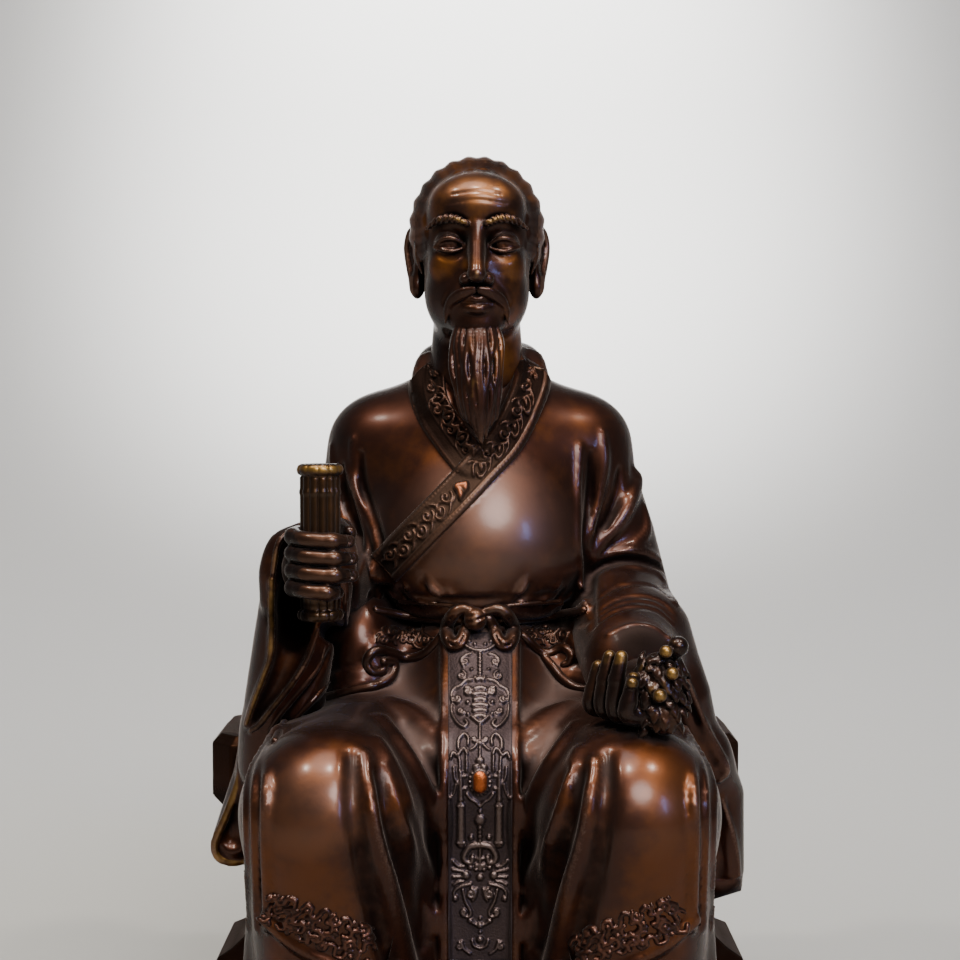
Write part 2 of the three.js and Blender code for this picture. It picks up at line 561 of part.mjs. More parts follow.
// A roll of bamboo slips: a ring of thin staves with a round rim at both ends
function scroll(clay) {
  const { x, y, low, high, radius } = SCROLL;
  clay.add(limb([x, y, low + 2], [x, y, high - 2], radius - 0.8, radius - 0.8), 0.5);
  clay.cut(block([x, y, high + 10], [12, 12, 11], 0.5), 0.5);
  clay.cut(block([x, y, low - 10], [12, 12, 11], 0.5), 0.5);
  const staves = 12;
  for (let n = 0; n < staves; n++) {
    const turn = ((n + 0.5) / staves) * 2 * Math.PI;
    const [u, v] = [x + Math.cos(turn) * (radius - 1.5), y + Math.sin(turn) * (radius - 1.5)];
    clay.add(limb([u, v, low + 1.5], [u, v, high - 1.5], 1.5, 1.5), 0.3);
  }
  for (const z of [low + 1.6, high - 1.6]) clay.add(ball([x, y, z], [radius + 1, radius + 1, 1.8]), 0.4);
}

// The open hand, palm up on the thigh, with its fingers curled up at the viewer's left
function openHand(clay) {
  const [x, y, z] = PALM;
  clay.add(limb([x + 1, y + 22, z + 6], [x + 1, y + 2, z], 9, 8.5), 4);
  clay.add(ball([x, y - 2, z], [11, 13, 6.5]), 3);
  for (let n = 0; n < 4; n++) {
    const [tx, ty, tz] = [x - 12 + n * 3, y - 1 - n * 4.4, z + [10.5, 14, 14.5, 9][n]];
    const root = [[x - 5 + n * 2, y + 1 - n * 4, z - 2], [tx - 1.6, ty, z - 1]];
    clay.add(cord([...root, [tx - 1, ty - 0.6, tz - 6], [tx, ty, tz]], 3, 2, 2.7), 0.8);
  }
}

// The herbs that lie in it: stalks, leaves that hang over the edge, and round buds
function herbs(clay) {
  const [x, y, z] = [PALM[0] + 5, PALM[1] - 9, PALM[2] + 7];
  clay.add(ball([x, y, z], [8, 8, 9.5]), 2);
  clay.add(ball([x + 1, y - 3, z - 9], [5.5, 5, 6]), 2);
  const leaves = 16;
  for (let n = 0; n < leaves; n++) {
    const turn = n * 2.4, fall = n / (leaves - 1);
    const out = 8.4 * Math.sqrt(1 - (fall * 2 - 1) ** 2 * 0.6);
    const along = [Math.sin(turn) * 0.75, -Math.abs(Math.cos(turn)) * 0.75];
    const root = [x + along[0] * out, y + along[1] * out, z + 9 - fall * 20];
    const tip = plus(root, [Math.sin(turn) * 3, -2.4, -4.6]);
    const leaf = cord([root, mix(root, tip, 0.5), tip], 1, 0.7, 2.6);
    clay.add(squashed(leaf, root, [Math.cos(turn), 0.3, 0.4], 0.7), 0.5);
  }
  const upperBuds = [[51.8, -81, 140, 1.9], [53.5, -82, 134, 1.9], [55.5, -78, 141, 3]];
  const buds = [...upperBuds, [50, -83, 128, 2], [42.5, -80, 131, 1.8]];
  for (const [u, v, w, radius] of buds) clay.add(limb([u, v, w], [u, v + 4, w - 1], radius, 1.2), 0.4);
}

// A block with a bevel all round, made upright from its outline
function bevelledBlock(outline, low, high, bevel) {
  const edge = { bevelEnabled: true, bevelSize: bevel, bevelThickness: bevel, bevelOffset: -bevel };
  const settings = { depth: high - low - 2 * bevel, ...edge, bevelSegments: 1, curveSegments: 3 };
  return new THREE.ExtrudeGeometry(outline, settings).translate(0, 0, low + bevel);
}
function roundedOutline([left, front], [right, back], radius) {
  const shape = new THREE.Shape();
  shape.moveTo(left + radius, front);
  shape.lineTo(right - radius, front);
  shape.absarc(right - radius, front + radius, radius, -Math.PI / 2, 0);
  shape.lineTo(right, back - radius);
  shape.absarc(right - radius, back - radius, radius, 0, Math.PI / 2);
  shape.lineTo(left + radius, back);
  shape.absarc(left + radius, back - radius, radius, Math.PI / 2, Math.PI);
  shape.lineTo(left, front + radius);
  shape.absarc(left + radius, front + radius, radius, Math.PI, Math.PI * 1.5);
  return shape;
}
function seatAndBase() {
  const feet = roundedOutline([-88, 2], [88, 52], 14);
  const slab = roundedOutline([-SEAT_HALF_WIDTH, 0], [SEAT_HALF_WIDTH, 50], 9);
  const waist = roundedOutline([-76, 5], [76, 46], 8);
  const plinth = roundedOutline([-97, -107], [97, 63], 26);
  const step = roundedOutline([-93, -103], [93, 59], 23);
  return [
    bevelledBlock(slab, SEAT_TOP - 25, SEAT_TOP, 3.5),
    bevelledBlock(waist, BASE_TOP - 3, SEAT_TOP - 20, 2),
    bevelledBlock(feet, BASE_TOP - 3, BASE_TOP + 12, 5),
    bevelledBlock(plinth, 0, 10, 1.6),
    bevelledBlock(step, 6, BASE_TOP, 2),
  ];
}

// Assembly: each stretch of clay is skinned and simplified, then all are joined into one casting.
const wasm = await Module();
wasm.setup();

function solidOf(geometry) {
  const plain = geometry.clone();
  plain.deleteAttribute("normal");
  plain.deleteAttribute("uv");
  const merged = mergeVertices(plain, 1e-4);
  const triVerts = Uint32Array.from(merged.index.array);
  const vertProperties = merged.attributes.position.array;
  return new wasm.Manifold(new wasm.Mesh({ numProp: 3, vertProperties, triVerts }));
}
function geometryOf(solid) {
  const { vertProperties, triVerts } = solid.getMesh();
  const geometry = new THREE.BufferGeometry();
  geometry.setAttribute("position", new THREE.BufferAttribute(vertProperties, 3));
  geometry.setIndex(new THREE.BufferAttribute(triVerts, 1));
  return geometry;
}
function moulded(low, high, cell, wanted, ...shapers) {
  const clay = new Clay(low, high, cell);
  for (const shape of shapers) shape(clay);
  const { points, faces } = simplified(skin(clay), wanted);
  const geometry = new THREE.BufferGeometry();
  geometry.setAttribute("position", new THREE.Float32BufferAttribute(points.flat(), 3));
  geometry.setIndex(faces.flat());
  return geometry;
}

const robe = [trunk, arms, legs, hangingSleeve, wrappedSleeve, folds, collar, belt, coatFlaps, apron, hem];
const shapes = [
  moulded([-96, -106, BASE_TOP - 4], [96, 60, 232], BODY_CELL, 4600, ...robe),
  moulded([-30, -42, 196], [28, 28, CROWN + 3], HEAD_CELL, 1900, skull, face, hair, beard),
  moulded([-64, -68, 148], [-30, -20, 180], HAND_CELL, 430, fist),
  moulded([-56, -62, 142], [-38, -42, 196], HAND_CELL * 0.8, 340, scroll),
  moulded([26, -94, 104], [66, -34, 148], HAND_CELL, 800, openHand, herbs),
  ...seatAndBase(),
];
const casting = shapes.map(solidOf).reduce((all, next) => all.add(next));
const statue = new THREE.Mesh(
  geometryOf(casting).translate(...ORIGIN),
  new THREE.MeshStandardMaterial({ color: "#4a2c1c", roughness: 0.36, metalness: 0.9 }),
);
statue.name = "medicine_god_casting";

const medicineGod = new THREE.Group();
medicineGod.name = "medicine_god_statue";
medicineGod.add(statue);
export default medicineGod;
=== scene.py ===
# %% [markdown]
# # A medicine god in patinated bronze
# The object is a cast statue, about 29 cm high: an old healer on a block seat, with a roll of bamboo
# slips in one fist and a bunch of herbs on the other palm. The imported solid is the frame: it fixes every
# size and place, and this script dresses it. It works in millimetres and turns them into metres last.

import math
from collections import namedtuple

import bpy
import numpy as np
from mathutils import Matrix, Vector


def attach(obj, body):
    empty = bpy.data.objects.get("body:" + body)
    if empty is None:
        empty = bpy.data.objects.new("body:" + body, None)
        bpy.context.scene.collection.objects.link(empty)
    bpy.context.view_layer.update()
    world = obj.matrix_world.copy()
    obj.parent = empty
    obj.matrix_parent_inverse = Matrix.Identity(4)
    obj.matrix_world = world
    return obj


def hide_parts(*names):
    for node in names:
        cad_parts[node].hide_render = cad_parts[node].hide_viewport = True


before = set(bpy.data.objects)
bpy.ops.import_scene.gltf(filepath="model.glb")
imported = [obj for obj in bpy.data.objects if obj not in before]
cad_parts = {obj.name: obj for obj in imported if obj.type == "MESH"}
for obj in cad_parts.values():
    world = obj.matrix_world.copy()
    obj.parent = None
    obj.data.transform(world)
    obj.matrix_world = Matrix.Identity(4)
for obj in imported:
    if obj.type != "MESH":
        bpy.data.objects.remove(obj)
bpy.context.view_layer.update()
NODE = "medicine_god_casting"
MM = 0.001
ORIGIN = np.array([0.0, 22.0, 0.0])  # the frame's origin is under the middle of the base
EYE = np.array([0.0, -580.0, 210.0])  # the camera, before that shift
SHEET_Y = -40.0  # places on the front are given on a sheet here, as the camera sees them
SIDES = (-1, 1)  # the viewer's left, where the scroll is, and the viewer's right
FRONT_HALF_END = 6.0  # the camera's rays are followed back to this y
FAR = 99.0  # a distance that counts as nothing near

# Driving sizes, as in the solid
CROWN = 286.0
HEAD_HEIGHT = 57.0
HEAD_X = -1.0
BASE_TOP = 17.0
BASE = dict(half_width=97, front=-107, back=63, corner=24)
SEAT_TOP = 100.5
SEAT_HALF_WIDTH = 86.0
SHOULDER = (33, 4, 194)
KNEE = (43, -66, 91)
KNEE_RADIUS = 25.0
FIST = (-48, -50, 161.5)
SCROLL = dict(x=-47.0, y=-51.5, low=145.0, high=191.5, radius=6.0)
PALM = (46, -64, 123)

# %% [markdown]
# ## Clay
# The sculptor of the real figure modelled it in clay or wax, adding rolls and pellets and smoothing them
# together. A block of cells that holds the distance to the surface allows the same: each shape is added
# or cut with a soft joint. A plain surface of two parameters can't branch into arms, folds and fingers,
# so the figure is made this way, and the ornament on it is made of surfaces of two parameters.

# %% Shapes, each with the box around it and its distance on a grid, negative inside
Shape = namedtuple("Shape", "low high distance")


def ball(centre, radii):
    """An ellipsoid. With k the length of the point divided by the radii, the distance is
    k (k - 1) over the length of the point divided by the squared radii."""
    centre, radii = np.asarray(centre, float), np.asarray(radii, float)

    def distance(xs, ys, zs, reach):
        u, v, w = xs[:, None, None] - centre[0], ys[None, :, None] - centre[1], zs[None, None, :] - centre[2]
        a, b, c = radii
        near = np.sqrt((u / a) ** 2 + (v / b) ** 2 + (w / c) ** 2)
        slope = np.sqrt((u / a**2) ** 2 + (v / b**2) ** 2 + (w / c**2) ** 2)
        return np.where(slope < 1e-9, -min(radii), near * (near - 1) / np.maximum(slope, 1e-9))

    return Shape(centre - radii, centre + radii, distance)


def chain(points, radii):
    """Tapered capsules in a row: the distance to the nearest place of the broken line, less its radius."""
    points, radii = np.asarray(points, float), np.asarray(radii, float)

    def distance(xs, ys, zs, reach):
        out = np.full((len(xs), len(ys), len(zs)), FAR, np.float32)
        for a, b, ra, rb in zip(points[:-1], points[1:], radii[:-1], radii[1:]):
            room = max(ra, rb) + reach
            low, high = np.minimum(a, b) - room, np.maximum(a, b) + room
            ends = zip((xs, ys, zs), zip(low, high))
            part = tuple(slice(*np.searchsorted(axis, pair)) for axis, pair in ends)
            u = (xs[part[0]] - a[0])[:, None, None]
            v = (ys[part[1]] - a[1])[None, :, None]
            w = (zs[part[2]] - a[2])[None, None, :]
            run = b - a
            t = np.clip((u * run[0] + v * run[1] + w * run[2]) / max(run @ run, 1e-9), 0, 1)
            away = np.sqrt((u - run[0] * t) ** 2 + (v - run[1] * t) ** 2 + (w - run[2] * t) ** 2)
            out[part] = np.minimum(out[part], away - ra - (rb - ra) * t)
        return out

    room = radii.max()
    return Shape(points.min(0) - room, points.max(0) + room, distance)


def limb(a, b, ra, rb):
    return chain([a, b], [ra, rb])


def curve(points, steps):
    """A smooth line through the points: a Catmull-Rom curve, with some steps from each point to the next."""
    p = np.asarray(points, float)
    p = np.vstack([2 * p[0] - p[1], p, 2 * p[-1] - p[-2]])
    t = np.linspace(0, 1, steps, endpoint=False)[:, None]
    rows = []
    for a, b, c, d in zip(p[:-3], p[1:-2], p[2:-1], p[3:]):
        square, cube = 2 * a - 5 * b + 4 * c - d, 3 * b - a - 3 * c + d
        rows.append(0.5 * (2 * b + (c - a) * t + square * t**2 + cube * t**3))
    return np.vstack(rows + [p[-2:-1]])


def sided(side, places):
    """Places given for the viewer's right, mirrored where the side is -1."""
    return np.asarray(places, float) * [side, 1, 1][: len(places[0])]


def swell(count, first, last, middle):
    """Radii from first to last, by way of middle at half length: a parabola through the three."""
    t = np.linspace(0, 1, count)
    return (1 - t) ** 2 * first + t**2 * last + 2 * t * (1 - t) * (2 * middle - (first + last) / 2)


def cord(points, first, last=None, middle=None, steps=4):
    """A smooth chain that swells from first to last; without a middle it tapers evenly."""
    last = first if last is None else last
    middle = (first + last) / 2 if middle is None else middle
    line = curve(points, steps)
    return chain(line, swell(len(line), first, last, middle))


def tube(points, radii):
    """A smooth chain with its own radius at each of the given points."""
    line = curve(points, 4)
    return chain(line, np.interp(np.linspace(0, len(points) - 1, len(line)), np.arange(len(points)), radii))


def block(centre, half, edge):
    """A box with rounded edges: the distance to a smaller box, less the radius of the edge."""
    centre, half = np.asarray(centre, float), np.asarray(half, float)

    def distance(xs, ys, zs, reach):
        u = np.abs(xs[:, None, None] - centre[0]) - half[0] + edge
        v = np.abs(ys[None, :, None] - centre[1]) - half[1] + edge
        w = np.abs(zs[None, None, :] - centre[2]) - half[2] + edge
        outside = np.sqrt(np.maximum(u, 0) ** 2 + np.maximum(v, 0) ** 2 + np.maximum(w, 0) ** 2)
        return outside + np.minimum(np.maximum(np.maximum(u, v), w), 0) - edge

    return Shape(centre - half, centre + half, distance)


# %% The block of cells
HALF_SUNK = 0.35  # how deep a ridge's or a groove's line lies, in shares of its first radius
INWARDS, TRIES = 0.98, 60  # how a place outside the outline is brought in


class Clay:
    """Distances on a grid of cells. A shape changes only the cells in and near its own box."""

    def __init__(self, low, high, cell):
        self.low, self.cell = np.asarray(low, float), cell
        self.axes = [np.arange(a, b + cell, cell) for a, b in zip(low, high)]
        self.values = np.full([len(axis) for axis in self.axes], FAR, np.float32)

    def change(self, shape, margin, rule):
        part = tuple(
            slice(*np.searchsorted(axis, (shape.low[n] - margin, shape.high[n] + margin)))
            for n, axis in enumerate(self.axes)
        )
        if all(s.stop > s.start for s in part):
            away = shape.distance(*(axis[s] for axis, s in zip(self.axes, part)), margin)
            self.values[part] = rule(self.values[part], away)

    def add(self, shape, blend=2.0):
        def rule(held, away):
            h = np.maximum(blend - np.abs(held - away), 0) / blend
            return np.minimum(held, away) - h * h * blend / 4

        self.change(shape, blend + 2 * self.cell, rule)

    def cut(self, shape, blend):
        def rule(held, away):
            h = np.maximum(blend - np.abs(held + away), 0) / blend
            return np.maximum(held, -away) + h * h * blend / 4

        self.change(shape, blend + 2 * self.cell, rule)

    def press(self, shape, height, edge):
        """Raises the surface inside the shape by a height, over a soft edge."""

        def rule(held, away):
            t = np.clip(-away / edge, 0, 1)
            return held - height * t * t * (3 - 2 * t)

        self.change(shape, 0, rule)

    def at(self, points):
        """The distance at each point, by trilinear interpolation."""
        size = np.array(self.values.shape)
        place = np.clip((points - self.low) / self.cell, 0, size - 1.001)
        i = place.astype(int)
        t = (place - i).astype(np.float32)
        flat, (_, ny, nz) = self.values.ravel(), size
        base = (i[..., 0] * ny + i[..., 1]) * nz + i[..., 2]
        out = 0.0
        for a in (0, 1):
            for b in (0, 1):
                for c in (0, 1):
                    weight = (t[..., 0] if a else 1 - t[..., 0]) * (t[..., 1] if b else 1 - t[..., 1])
                    weight = weight * (t[..., 2] if c else 1 - t[..., 2])
                    out = out + weight * flat[base + (a * ny + b) * nz + c]
        return out

    def slope(self, points):
        """The direction straight out of the surface: the field's slope by central differences."""
        h = self.cell * 0.8
        out = np.stack([self.at(points + h * axis) - self.at(points - h * axis) for axis in np.eye(3)], -1)
        return out / np.maximum(np.linalg.norm(out, axis=-1, keepdims=True), 1e-6)

    def seen(self, places, sink=0.0):
        """The points of the surface that the camera sees through places of the sheet, moved deeper by a sink.
        A place just outside the outline is taken inwards until it meets the figure."""
        places = np.array(places, float)
        ys = np.arange(self.low[1], FRONT_HALF_END, self.cell / 2)
        t = (ys - EYE[1]) / (SHEET_Y - EYE[1])
        points = np.zeros((len(places), 3))
        todo = np.arange(len(places))
        for _ in range(TRIES):
            if not len(todo):
                break
            ends = np.column_stack([places[todo, 0], np.full(len(todo), SHEET_Y), places[todo, 1]])
            rays = EYE + t[None, :, None] * (ends[:, None] - EYE)
            value = self.at(rays)
            first = np.argmax(value < 0, axis=1)
            hit = first > 0
            k = first[hit]
            row = np.flatnonzero(hit)
            before, after = value[row, k - 1], value[row, k]
            y = ys[k - 1] + (ys[k] - ys[k - 1]) * np.clip(before / (before - after), 0, 1) + sink
            share = (y - EYE[1]) / (SHEET_Y - EYE[1])
            points[todo[hit]] = EYE + share[:, None] * (ends[hit] - EYE)
            todo = todo[~hit]
            places[todo, 0] *= INWARDS
        return points

    def ridge(self, places, first, last, blend, middle=None):
        """A ridge of cloth along places of the sheet, partly sunk in the surface."""
        self.add(cord(self.seen(places, first * HALF_SUNK), first, last, middle), blend)

    def groove(self, places, first, last, blend, middle=None):
        self.cut(cord(self.seen(places, -first * HALF_SUNK), first, last, middle), blend)

    def band(self, places, width, height, edge=1.0):
        self.press(cord(self.seen(places), width / 2), height, edge)


# %% The skin of the clay
def skin(clay):
    """Surface nets: each cell that the surface passes gets one point, the mean of the crossings on its twelve
    edges, and each crossed edge joins the four cells round it in a face. Two steps down the slope then lay
    the points on the surface."""
    v = clay.values.copy()
    for axis in range(3):
        np.moveaxis(v, axis, 0)[[0, -1]] = clay.cell
    n = np.array(v.shape) - 1
    corner = {c: v[tuple(slice(k, k + m) for k, m in zip(c, n))] for c in np.ndindex(2, 2, 2)}
    count = sum((w < 0).astype(np.int8) for w in corner.values())
    mixed = (count > 0) & (count < 8)
    cells = np.argwhere(mixed)
    total, crossings = np.zeros((len(cells), 3)), np.zeros(len(cells))
    for axis in range(3):
        for c in np.ndindex(2, 2, 2):
            if c[axis]:
                continue
            d = tuple(1 if k == axis else m for k, m in enumerate(c))
            a, b = corner[c][mixed], corner[d][mixed]
            cross = (a < 0) != (b < 0)
            point = np.tile(np.array(c, float), (len(cells), 1))
            point[:, axis] = a / np.where(cross, a - b, 1)
            total += point * cross[:, None]
            crossings += cross
    points = clay.low + clay.cell * (cells + total / crossings[:, None])
    number = np.full(n, -1)
    number[mixed] = np.arange(len(cells))
    faces = []
    for axis in range(3):
        u, w = (axis + 1) % 3, (axis + 2) % 3
        lower = [slice(1, m) for m in n]
        lower[axis] = slice(0, n[axis])
        upper = list(lower)
        upper[axis] = slice(1, n[axis] + 1)
        a, b = v[tuple(lower)] < 0, v[tuple(upper)] < 0
        for rising in (True, False):
            edges = np.argwhere((a & ~b) if rising else (~a & b))
            edges += [0 if k == axis else 1 for k in range(3)]
            step = np.eye(3, dtype=int)
            ring = [edges - step[u] - step[w], edges - step[w], edges, edges - step[u]]
            quad = np.stack([number[tuple(c.T)] for c in ring], 1)
            faces.append(quad if rising else quad[:, ::-1])
    for _ in range(2):
        points = points - clay.slope(points) * clay.at(points)[:, None] * 0.9
    return points, np.vstack(faces)


print("clay tools ready")

# %% [markdown]
# ## The robe
# The robe hangs from the shoulders and is tied below a round belly, so the big forms come first: trunk,
# arms, knees. Folds are rolls of clay and grooves laid where the photograph shows them, with the outline
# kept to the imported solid's. The upper robe and the skirt are two blocks, which meet under the belt.

# %% Trunk, arms and legs
def trunk(clay):
    clay.add(ball([0, 4, 182], [38, 31, 40]), 8)
    clay.add(ball([0, -5.5, 164], [36, 31, 30]), 12)
    clay.add(limb([0, 2, 205], [0, -2, 228], 22, 12), 10)
    clay.add(ball([0, 12, 148], [43, 25, 40]), 10)
    for side in SIDES:
        clay.add(ball([side * 32, 4, 196], [16, 15.5, 15.5]), 14)


def hips(clay):
    clay.add(ball([0, 8, 112], [50, 38, 30]), 14)
    clay.add(ball([0, 12, 140], [40, 24, 30]), 10)
    for side in SIDES:
        clay.add(ball([side * 38, -6, 130], [15, 24, 24]), 10)
    for x in range(-36, 37, 12):
        pleat = [[x * 0.6, 12, 157], [x * 0.8, 27, 134], [x * 1.05, 42, 108], [x * 1.25, 50, 66]]
        clay.add(chain(pleat, [5, 8, 8.5, 7]), 8)
    clay.add(ball([0, 8, 108], [66, 36, 12]), 8)


def arms(clay):
    x, y, z = SHOULDER
    clay.add(chain([[-x, y, z], [-39, 6, 172], [-43, 4, 150], [-49, -32, 156]], [14.5, 16, 17, 12]), 6)
    clay.add(chain([[x, y, z], [40.5, 6, 165], [44, 4, 145], [45.5, -40, 131]], [14.5, 16.5, 18, 15]), 6)


def legs(clay):
    x, y, z = KNEE
    for side in SIDES:
        clay.add(limb([side * 25, 0, 100], [side * x, y, z], 23, KNEE_RADIUS), 10)
        clay.add(limb([side * x, y, z], [side * (x - 1), y + 8, 40], KNEE_RADIUS, 23.5), 6)
        clay.add(limb([side * 36, y + 12, 45], [side * 35, y + 14, BASE_TOP + 4], 21, 22), 6)
        clay.add(block([side * 54, -22, 66], [9, 30, 46], 8), 8)
        for pleat in range(6):
            top, foot = -46 + pleat * 9, -54 + pleat * 13
            out = 2 * math.sin(pleat * 2.1)
            path = [[side * 55, top, 104], [side * 60, (top + foot) / 2, 76], [side * (65 + out), foot, 26]]
            clay.add(chain(path, [7, 8, 6.5]), 5)
    clay.add(limb([0, -14, 126], [0, -44, 100], 19, 17), 12)
    clay.add(block([0, -30, 62], [34, 28, 45], 8), 10)


# %% The two sleeves
MOUTH = [[-54, 153], [-55.4, 147], [-56, 141], [-57.8, 132], [-61.4, 124.5], [-65.6, 118], [-68.4, 112.8]]
CUFF = [[-52, 171], [-57, 170.6], [-60.6, 167], [-62, 160], [-62.6, 154]]
OUTER_RIM = [[-62.8, 156], [-62.8, 149], [-62.8, 140], [-63.4, 132], [-65.4, 126.3], [-68.4, 118.5],
             [-70.4, 112.4]]
INNER_RIM = [[-69, 110.4], [-66.4, 112.2], [-62.4, 117.3], [-56.7, 124.5], [-52, 132], [-48.8, 141]]
POUCH = [[-73.8, -15, 102], [-76.8, -13, 88], [-81.6, -12, 76], [-84.4, -12, 69.4], [-83.6, -12, 64.6],
         [-79.2, -11.5, 62.6], [-73.6, -11, 63.4]]
SLEEVE_FOLDS = [
    ([[-46.8, 136.2], [-48.6, 130.2], [-53.7, 123.3], [-59.7, 116.1], [-64.2, 109.8]], 0.5, 1.1, 0.6),
    ([[-42.6, 130.2], [-48, 122.4], [-54, 115.8], [-60, 109.5]], 0.5, 1.0, 0.5),
    ([[-40.8, 155.1], [-40.6, 147], [-41, 139], [-42.6, 130.8]], 0.4, 1.0, 0.7),
]


def hanging_sleeve(clay):
    """The wide sleeve of the raised arm hangs open from the wrist, and its corner falls over the seat."""
    front = [[-54, -34, 155], [-57, -30, 136], [-60.5, -26, 116], [-64, -22, 96]]
    clay.add(chain(front, [12, 12.5, 12.5, 11]), 8)
    clay.add(chain([[-46, -4, 140], [-55, -2, 120], [-68, 0, 102]], [12, 12, 9]), 10)
    clay.add(chain([[-64, -20, 107], [-71, -8, 90], [-78, -6, 69]], [9, 8, 8]), 7)
    wrist = [[-62.5, -40, 150], [-62.5, -42, 159], [-60, -42, 167], [-54, -40, 171]]
    clay.add(tube(wrist, [3.6, 3.8, 3.4, 2.4]), 3)
    clay.cut(tube(clay.seen(MOUTH), [7.2, 6.9, 6.2, 4.8, 3.6, 2.4, 1.2]), 0.8)
    clay.cut(tube(clay.seen([[-46, 141], [-43, 137.5], [-39.8, 132.5]]), [2.6, 3.4, 1.8]), 2)
    clay.ridge(CUFF, 0.9, 1.2, 0.8)
    clay.ridge(OUTER_RIM, 1.2, 1.2, 0.8)
    clay.ridge(INNER_RIM, 1.1, 0.7, 0.8)
    clay.groove([[-45.4, 133.6], [-50.6, 124.2], [-57, 116.8], [-62, 109.6]], 0.8, 1.4, 1.5)
    clay.groove([[-42, 128], [-47.6, 119.4], [-54, 112.6]], 0.6, 1.2, 1.5)
    clay.cut(tube([[-76, -19, 96], [-78.5, -17, 86], [-80, -16, 76], [-79, -15, 71]], [1.6, 3.4, 5, 4]), 1.5)
    clay.add(cord(POUCH, 1.2, 1.2, 1.4), 0.8)


def wrapped_sleeve(clay):
    """The other sleeve wraps the forearm in rings, and its corner falls beside the knee."""
    clay.add(chain([[55, -24, 138], [62, -22, 118], [69, -16, 96]], [10, 10, 8]), 8)
    clay.add(chain([[48, -4, 132], [57, -2, 114], [69, 2, 102]], [12, 12, 9]), 10)
    clay.add(chain([[71, -16, 98], [76, -8, 84], [75, -6, 60]], [8, 8.5, 10]), 7)
    arc = [[36.3, 145.2], [41.1, 148.2], [47.4, 149.4], [53.4, 148.2], [58.2, 144]]
    for row, width in ((5.4, 0.5), (1.6, 0.6), (0, 0.5), (-1.7, 0.5)):
        clay.groove([[x, z + row] for x, z in arc], 0.2, 0.2, 1.2, width)
    clay.cut(tube([[40, -62, 137], [46, -63, 139], [52, -61, 137.6]], [4, 6, 4.5]), 1.5)
    clay.ridge([[38.7, 139.2], [44.1, 141.6], [48.6, 142.2], [53.4, 140.7], [57.6, 136.6]], 0.8, 1.1, 0.7)
    clay.ridge([[57, 138], [61.5, 126], [66, 113], [70.5, 103], [74, 97.6]], 0.9, 1.6, 1.2)
    clay.groove([[58.6, 131], [63.4, 119], [68, 108], [71.6, 99.6]], 0.6, 1.1, 1.2)
    clay.ridge([[62, 127], [67.2, 114], [72.8, 103], [74.6, 98.4], [72.2, 95.6]], 0.8, 1.4, 0.9)
    clay.ridge([[73, 90], [77, 76], [78, 64], [76, 57], [72, 56]], 1.0, 1.2, 1.2)
    clay.groove([[71, 84], [73.2, 72], [73.4, 62]], 1.4, 2.4, 2)


# %% Folds, each a curve on the sheet with its thickness at the start, the middle and the end
UPPER_RIDGES = [
    ([[36.9, 200], [37.2, 191.7], [35.7, 182.7], [33.3, 170.4]], 0.5, 1.7, 0.5),
    ([[50, 189], [47.4, 186.3], [45.3, 180], [41.7, 173.4], [36.3, 167.4], [34, 163]], 0.5, 2.3, 0.8),
    ([[53.5, 178], [50, 170.5], [45, 165.4]], 0.5, 1.5, 0.6),
    ([[30, 196], [29.4, 179.4], [29.4, 167.4], [30.3, 156.3], [32.2, 149]], 0.4, 0.8, 0.6),
    ([[34, 160], [39, 163.4], [44.7, 164.6], [50.4, 164], [55.4, 161.4]], 0.5, 1.3, 0.6),
    ([[41.7, 160.6], [48, 159.6], [53.4, 157.6], [57, 153.6], [58.8, 148.8]], 0.4, 1.0, 0.5),
    ([[-38.1, 198], [-37.2, 185.7], [-32.9, 173.4], [-30.6, 165], [-30.3, 152.1], [-33.3, 145.5]],
     0.5, 1.1, 0.8),
    ([[-33.3, 145.5], [-36, 138], [-42.4, 130.4]], 0.8, 0.9, 0.7),
    ([[-40, 190], [-37, 182], [-34.4, 173], [-33.6, 164]], 0.5, 1.4, 0.5),
    ([[-44.5, 196], [-43.6, 184], [-40, 172], [-37.6, 163]], 0.4, 1.7, 0.6),
    ([[-40.8, 156], [-40.6, 148], [-41.2, 140], [-42.8, 131]], 0.6, 1.2, 0.8),
]
UPPER_GROOVES = [
    ([[33.4, 194], [33, 182], [32, 168], [33, 156], [34, 142]], 0.4, 1.5, 0.8),
    ([[42, 189], [41, 181], [37.6, 172.4]], 0.4, 1.3, 0.5),
    ([[33.9, 157.8], [38.1, 161], [44.7, 162], [50.4, 161.4], [55.2, 159.4]], 0.5, 1.0, 0.5),
    ([[-35.8, 194], [-34.8, 183], [-30.8, 172], [-28.6, 163], [-28.6, 154]], 0.4, 0.8, 0.5),
    ([[-41.6, 190], [-40.4, 180], [-37, 168], [-36.6, 158]], 0.4, 1.3, 0.5),
    ([[-38, 158], [-38, 148], [-39.4, 138]], 0.4, 1.6, 0.6),
]
GATHERS = [
    ([[-15.6, 156.6], [-13.2, 152.6], [-6.6, 149.6]], 1.2),
    ([[-22.8, 154.6], [-19.5, 150.6], [-15.4, 148.9]], 0.8),
    ([[-28, 154.6], [-25.6, 151], [-21.6, 149.4]], 0.7), ([[-9.6, 152.8], [-7, 150.2], [-3, 148.6]], 0.5),
    ([[13.8, 156.4], [11.7, 152.2], [7.2, 149.6]], 1.2), ([[17.8, 152.8], [15, 150.2], [11.4, 149]], 0.6),
    ([[24, 155.2], [21.2, 151.4], [17.6, 149.4]], 0.8), ([[27.6, 152.4], [25.4, 150.4], [22.4, 149.6]], 0.6),
    ([[8, 152.4], [6, 150.2], [3, 148.8]], 0.5),
]
